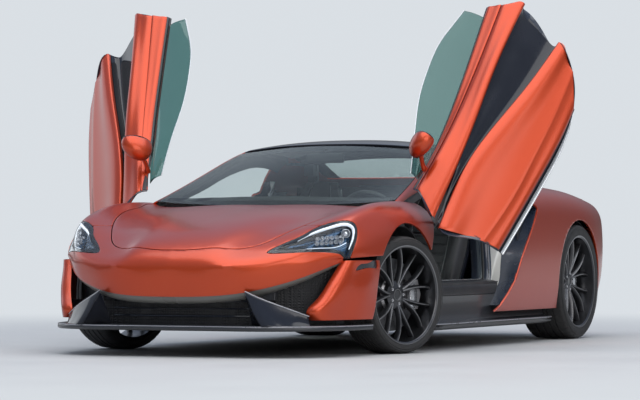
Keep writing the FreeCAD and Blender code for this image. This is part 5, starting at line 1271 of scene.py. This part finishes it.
def seat_rail(share, offset, stations=slice(None)):
    """A line along the seat, at a share of its half width and an offset from its middle line."""
    offset = np.broadcast_to(offset, (SEAT_STATIONS,))[:, None]
    rail = spine + seat_normal * offset - IN * (share * seat_path[:, 2])[:, None]
    return rail[stations]


half_rails = [(share, bolster * seat_path[:, 3] + extra) for share, bolster, extra in SEAT_SECTION]
cover = between(*[seat_rail(-share, offset) for share, offset in half_rails[:0:-1]],
                *[seat_rail(share, offset) for share, offset in half_rails], per=3)
middle_share = np.clip(1 - (abs(cover[:, :, 1]) / (seat_path[:, 2:3] * 0.56)) ** 6, 0, 1)
for place in CHANNELS:
    groove = np.exp(-((along(spine) - place) / CHANNEL_WIDTH) ** 2)[:, None] * middle_share * CHANNEL_DEPTH
    cover = cover - seat_normal[:, None] * groove[..., None]
back_shell = between(*[seat_rail(share, offset, slice(116, 252, 4)) for share, offset in BACK_SHELL], per=4)
for side, y in (("left", SEAT_Y), ("right", -SEAT_Y)):
    seat_cover = shell(moved(surface(cover), (0, y, 0)), (1, 0, 1), 22, 2)
    dress("seat_cover_" + side, seat_cover, HIDE, angle=50, replaces=["seat_" + side])
    dress("seat_shell_" + side, shell(moved(surface(back_shell), (0, y, 0)), (-1, 0, 0), 6, 1.5), GLOSS,
          angle=50)
    plinth = block((-262, 192), (y - 205, y + 205), (164, 262), 24)
    dress("seat_base_" + side, plinth, PLASTIC)
    piping = [tube(seat_rail(share, -2.5, slice(8, 250, 3)) + vec(0, y, 0), 2.2,
                   8) for share in (-PIPING, PIPING)]
    dress("seat_piping_" + side, joined(piping), CAST)
    belt = curve([(-560, y * 0.9, 700), (-520, y * 0.82, 905), (-505, y * 0.76, 915), (-470, y * 0.72, 860)],
                 20)
    webbing = between(belt + vec(0, -22, 0), belt + vec(0, 22, 0), per=2)
    dress("seat_belt_" + side, shell(webbing, (1, 0, 1), 2, 0), SUEDE)

# Dashboard with its hood, dials, screen, vents and trim line

DASH = [(884, 745), (800, 776), (690, 798), (612, 804), (560, 792), (520, 752), (507, 706), (514, 650),
        (532, 606), (590, 578), (662, 562)]
DASH_HALF = 672


def dash_bend(y, most):
    """How far the dashboard's face curves forward at a distance from the middle."""
    return most * (abs(y) / DASH_HALF) ** 4


dash_rows = []
for y in np.linspace(-DASH_HALF, DASH_HALF, 90):
    dip = 10 * math.exp(-(y / 190) ** 2)
    dash_rows.append(curve([(x + dash_bend(y, 34) * (x < 700), y, z - dip * (z > 740)) for x, z in DASH], 44))
dress("dash_top", shell(dash_rows, (-1, 0, 1), 8, 1), SUEDE, angle=60, replaces=["dashboard"])
hood_rows = []
for y in np.linspace(252, 478, 30):
    lift = 52 * max(0.0, 1 - ((y - 365) / 113) ** 4)
    hood_rows.append(curve([(690, y, 794 + lift * 0.1), (640, y, 796 + lift * 0.85), (560, y, 792 + lift),
                            (524, y, 786 + lift * 0.92)], 14))
dress("dash_hood", shell(hood_rows, UP, 5, 1), HIDE)
dials = [[(540, y, z) for z in np.linspace(742, 822, 6)] for y in np.linspace(275, 455, 10)]
dress("dash_dials", shell(dials, (-1, 0, 0), 4, 1), GLOSS)
dress("dash_screen", block((486, 500), (-66, 66), (596, 782), 5), GLOSS)
dress("dash_screen_frame", block((498, 508), (-76, 76), (586, 792), 4), CAST)
vents = []
for y in (-600, -170, 170, 600):
    x = 512 + dash_bend(y, 30)
    vents.append(turned([(30, 0), (36, 0), (37, 8), (30, 8)], (x, y, 722), (-1, 0, 0.18), 40))
    vents += [block((x - 4, x + 6), (y - 28, y + 28), (z - 1.5, z + 1.5), 0.8) for z in (708, 722, 736)]
dress("dash_vents", joined(vents), CAST)
dress("dash_trim_line", tube([(508 + dash_bend(y, 30), y,
                               672) for y in np.linspace(-668, 668, 60)], 4, 8), SILVER)

# Console between the seats

# x, height, half width
TUNNEL = [(630, 572, 74), (560, 560, 84), (500, 520, 90), (420, 462, 94), (300, 424, 96), (100, 412, 96),
          (-120, 408, 96), (-296, 402, 92)]


def plate_z(x):
    return float(np.interp(x, [-120, 100, 300, 430], [414, 418, 430, 474]))


tunnel = [[(x, -102, 166), (x, -103, z - 40), (x, -half, z - 8), (x, -half * 0.6, z + 2), (x, 0, z + 4),
           (x, half * 0.6, z + 2), (x, half, z - 8), (x, 103, z - 40),
           (x, 102, 166)] for x, z, half in TUNNEL]
lengthwise = np.swapaxes(across(np.swapaxes(tunnel, 0, 1), 4), 0, 1)
dress("console_body", shell(across(lengthwise, 4, (2, 6)), UP, 5, 1), HIDE, angle=50,
      replaces=["console"])
plate = [[(x, y, plate_z(x) + 2) for y in np.linspace(-58, 58, 8)] for x in np.linspace(420, -110, 30)]
dress("console_plate", shell(plate, UP, 4, 1), CARBON)
KNOB = [(0.1, 0), (17, 0), (18, 3), (16, 20), (13, 22), (0.1, 22)]
controls = [turned(KNOB, (x, y, plate_z(x)), (0.2, 0, 1), 32) for x, y in ((330, -30), (330, 30), (250, 0))]
controls += [block((x - 11, x + 11), (-22, 22), (418, 430), 3) for x in (160, 130, 100)]
dress("console_controls", joined(controls), CAST)
dress("console_start", block((195, 215), (-10, 10), (420, 432), 4), RED)

# Steering wheel: rim with a flat foot, pad, spokes, paddles and column

RAKE = math.radians(22)
HUB = vec(430, 365, 715)
TO_DRIVER = vec(-math.cos(RAKE), 0, math.sin(RAKE))
WHEEL_UP = vec(math.sin(RAKE), 0, math.cos(RAKE))
GRIP_RADIUS = 178
FLAT_FOOT = -152


def on_wheel(a, b, deep=0):
    """A point in the steering wheel's plane: to the left, up and towards the driver."""
    return HUB - IN * a + WHEEL_UP * b + TO_DRIVER * deep


def steering(name, obj, mat, replaces=()):
    dress("steering_" + name, obj, mat, "steering_wheel", replaces=replaces)


grip = []
for t in np.linspace(0, 2 * math.pi, 97):
    b = GRIP_RADIUS * math.cos(t)
    grip.append(on_wheel(GRIP_RADIUS * math.sin(t), max(b, FLAT_FOOT) - (3 if b < FLAT_FOOT else 0)))
steering("grip", tube(grip, 15, 20), HIDE, ["steering_wheel"])
steering("pad", turned([(0.1, 14), (30, 13), (48, 8), (54, -2), (52, -16), (0.1, -18)], HUB, TO_DRIVER, 48),
         HIDE)
spokes = []
# direction, reach, how far the bars stand from the middle, radius at the end
for degrees, end, apart, slim in ((90, 168, (0,), 9), (270, 168, (0,), 9), (180, 152, (-15.6, 15.6), 7)):
    a, b = math.sin(math.radians(degrees)), math.cos(math.radians(degrees))
    for w in apart:
        path = [on_wheel(a * r + w, b * r, 4 - 7.2 * (r - 40) / 130) for r in (40, 80, 120, end)]
        spokes.append(tube(curve(path, 16), np.linspace(13, slim, 16), 12))
steering("spokes", joined(spokes), CAST)
paddles = [shell([[on_wheel(sign * a, b, -26) for b in (-20, 0, 30, 62)] for a in (70, 100,
                                                                                   124)], TO_DRIVER, 4, 1)
           for sign in (-1, 1)]
steering("paddles", joined(paddles), SILVER)
column = tube([HUB - TO_DRIVER * 24, HUB - TO_DRIVER * 60, HUB - TO_DRIVER * 170], [34, 40, 44], 24)
dress("steering_column", column, PLASTIC)

# Linings, inner mirror, sill covers, carpet and pedals

liner = []
for s in steps(16):
    x = np.linspace(40, -470, 24)
    p = read(PILLAR, x)
    crown = read(ROOF, x)[:, 0] - 26
    liner.append(np.stack([x, (p[:, 0] - 30) * s, crown + (p[:, 1] - 34 - crown) * s ** 2.4], 1))
dress("roof_lining", shell(full_width(surface(liner)), -UP, 4, 0), SUEDE)
dress("cabin_mirror", block((236, 256), (-118, 118), (1056, 1112), 9), PLASTIC)
dress("cabin_mirror_glass", block((233, 237), (-108, 108), (1064, 1104), 1), CHROME)
dress("cabin_mirror_stem", tube([(250, 0, 1105), (244, 0, 1120), (232, 0, 1134)], 7), PLASTIC)
SILL = [(612, 330), (622, 372), (650, 379), (720, 380), (790, 377), (822, 368), (838, 350), (844, 330),
        (846, 299)]
sill = [[(x, y, z) for y, z in SILL] for x in np.linspace(790, -640, 40)]
both("sill_cover", shell(across(sill, 4), UP, 5, 1), SATIN)
sill_strip = [[(x, y, 383.2) for y in (690, 745, 770)] for x in np.linspace(480, -260, 10)]
both("sill_strip", shell(sill_strip, UP, 3, 1), SILVER)
carpet = [[(x, y, 164) for y in np.linspace(-590, 590, 12)] for x in np.linspace(930, -650, 16)]
dress("carpet", shell(carpet, UP, 4, 0), SUEDE)
pedals = []
for y in (300, 380, 455):
    pedals.append(block((838, 850), (y - 24, y + 24), (250, 330), 4))
    pedals.append(tube([(850, y, 320), (872, y, 400), (884, y, 480)], 7, 8))
dress("pedals", joined(pedals), CAST)

# What shows of the engine: plenum and runners, on the block of the frame

RUNNER_PITCH = 120
engine_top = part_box("engine")[1][2] / MM
halves, runners = [], []
for sign in (-1, 1):
    rows = []
    for x in np.linspace(-1330, -830, 26):
        wave = engine_top + 3 * math.cos((x + 830) / 500 * 2 * math.pi * 7)
        rows.append([(x, sign * 30, engine_top + 2), (x, sign * 34, wave + 44), (x, sign * 70, wave + 60),
                     (x, sign * 130, wave + 58), (x, sign * 172, wave + 40), (x, sign * 182, engine_top + 2)])
    halves.append(shell(rows, UP, 5, 1))
for k in range(4):
    x = -900 - k * RUNNER_PITCH
    for sign in (-1, 1):
        path = [(x, sign * y, engine_top + rise) for y, rise in ((176, 30), (214, 26), (236, 4))]
        runners.append(tube(curve(path, 10), 15, 12))
dress("engine_plenum", joined(halves), CARBON)
dress("engine_runners", joined(runners), CAST)

# Finishes of the solids that are shown as they are

PLAIN = {
    "tub": SATIN, "cabin_frame": FRAME, "front_rails": FRAME, "front_beam": FRAME, "rear_frame": FRAME,
    "engine": CAST, "suspension_front": FRAME, "suspension_rear": FRAME, "rear_uprights": CAST,
    "knuckle_front_left": CAST, "knuckle_front_right": CAST, "wheel_houses": PLASTIC, "luggage_tray": PLASTIC,
}
for node, mat in PLAIN.items():
    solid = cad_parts[node]
    solid.data.materials.clear()
    solid.data.materials.append(mat)


# Stage: pale floor, soft lights, pale background

BACKDROP = (0.70, 0.74, 0.78, 1)
FLOOR_HALF = 60000
# metres from the car's middle
FADE_START = 2.2
FADE_END = 8
# metres, aimed along the direction that was solved from the photograph
CAMERA_PLACE = (17.387, 7.747, 0.661)
CAMERA_AIM = (-0.9105, -0.4134, 0.0097)
FOCAL_LENGTH = 182.2
# height from straight down to straight up, and the colour that is reflected there
SKY = [(0, (0.3, 0.3, 0.3)), (0.5, (0.13, 0.125, 0.12)), (0.56, (0.18, 0.185, 0.2)),
       (0.68, (0.42, 0.47, 0.56)), (0.82, (0.42, 0.52, 0.72)), (1, (0.62, 0.72, 0.88))]
SKY_STRENGTH = 0.85


def stage_floor():
    """A pale floor that turns into the backdrop's own colour away from the car."""
    far = FLOOR_HALF
    floor = raw([(-far, -far, 0), (far, -far, 0), (far, far, 0), (-far, far, 0)], [(0, 1, 2, 3)])
    floor.name = "floor"
    mat = finish("floor_grey", (0.5, 0.5, 0.495), (0.54, 0.54, 0.53), scale=1.5, rough=(0.5, 0.65), bump=0.2,
                 bump_scale=40)
    nodes, links = mat.node_tree.nodes, mat.node_tree.links
    away = nodes.new("ShaderNodeVectorMath")
    away.operation = "LENGTH"
    links.new(nodes["Texture Coordinate"].outputs["Object"], away.inputs[0])
    fade = nodes.new("ShaderNodeMapRange")
    fade.interpolation_type = "SMOOTHSTEP"
    fade.inputs["From Min"].default_value = FADE_START
    fade.inputs["From Max"].default_value = FADE_END
    links.new(away.outputs["Value"], fade.inputs["Value"])
    glow = nodes.new("ShaderNodeEmission")
    glow.inputs["Color"].default_value = BACKDROP
    mixed = nodes.new("ShaderNodeMixShader")
    links.new(fade.outputs["Result"], mixed.inputs["Fac"])
    links.new(nodes["Principled BSDF"].outputs["BSDF"], mixed.inputs[1])
    links.new(glow.outputs["Emission"], mixed.inputs[2])
    links.new(mixed.outputs["Shader"], nodes["Material Output"].inputs["Surface"])
    floor.data.materials.append(mat)
    floor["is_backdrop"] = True


def stage_world():
    """A sky with a dark horizon for the reflections. Seen directly or through glass, it is plain."""
    world = bpy.data.worlds.new("studio")
    bpy.context.scene.world = world
    world.use_nodes = True
    nodes, links = world.node_tree.nodes, world.node_tree.links
    back = nodes["Background"]
    place = nodes.new("ShaderNodeTexCoord")
    split = nodes.new("ShaderNodeSeparateXYZ")
    links.new(place.outputs["Generated"], split.inputs["Vector"])
    sky = nodes.new("ShaderNodeValToRGB")
    sky.color_ramp.elements[0].color = (*SKY[0][1], 1)
    sky.color_ramp.elements[1].color = (*SKY[-1][1], 1)
    for position, colour in SKY[1:-1]:
        sky.color_ramp.elements.new(position).color = (*colour, 1)
    height = nodes.new("ShaderNodeMapRange")
    height.inputs["From Min"].default_value = -1
    links.new(split.outputs["Z"], height.inputs["Value"])
    links.new(height.outputs["Result"], sky.inputs["Fac"])
    links.new(sky.outputs["Color"], back.inputs["Color"])
    back.inputs["Strength"].default_value = SKY_STRENGTH
    plain = nodes.new("ShaderNodeBackground")
    plain.inputs["Color"].default_value = BACKDROP
    ray = nodes.new("ShaderNodeLightPath")
    seen = nodes.new("ShaderNodeMath")
    seen.operation = "MAXIMUM"
    links.new(ray.outputs["Is Camera Ray"], seen.inputs[0])
    links.new(ray.outputs["Is Transmission Ray"], seen.inputs[1])
    mixed = nodes.new("ShaderNodeMixShader")
    links.new(seen.outputs["Value"], mixed.inputs["Fac"])
    links.new(back.outputs["Background"], mixed.inputs[1])
    links.new(plain.outputs["Background"], mixed.inputs[2])
    links.new(mixed.outputs["Shader"], nodes["World Output"].inputs["Surface"])


def area_light(name, place, aim, size, power, colour=(1, 1, 1)):
    data = bpy.data.lights.new(name, "AREA")
    data.shape = "RECTANGLE"
    data.size, data.size_y = size
    data.energy = power
    data.color = colour
    obj = bpy.data.objects.new(name, data)
    obj.location = place
    obj.rotation_euler = (Vector(aim) - Vector(place)).to_track_quat("-Z", "Y").to_euler()
    bpy.context.scene.collection.objects.link(obj)


def stage_camera():
    data = bpy.data.cameras.new("camera")
    data.lens = FOCAL_LENGTH
    data.sensor_width = 36
    data.clip_end = 200
    camera = bpy.data.objects.new("camera", data)
    camera.location = CAMERA_PLACE
    camera.rotation_euler = Vector(CAMERA_AIM).to_track_quat("-Z", "Y").to_euler()
    bpy.context.scene.collection.objects.link(camera)
    bpy.context.scene.camera = camera


stage_floor()
stage_world()
area_light("overhead", (2.0, 2.0, 9.0), (0, 0, 0.5), (14, 12), 1050, (1.0, 0.985, 0.96))
area_light("front_left", (8, 9, 4.0), (0.5, 0, 0.6), (8, 5), 300, (1.0, 0.96, 0.92))
area_light("rear_right", (-3.5, -11, 4.5), (-0.5, 0, 0.6), (9, 6), 140, (0.92, 0.96, 1.0))
stage_camera()
bpy.context.scene.view_settings.view_transform = "Standard"

low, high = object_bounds()
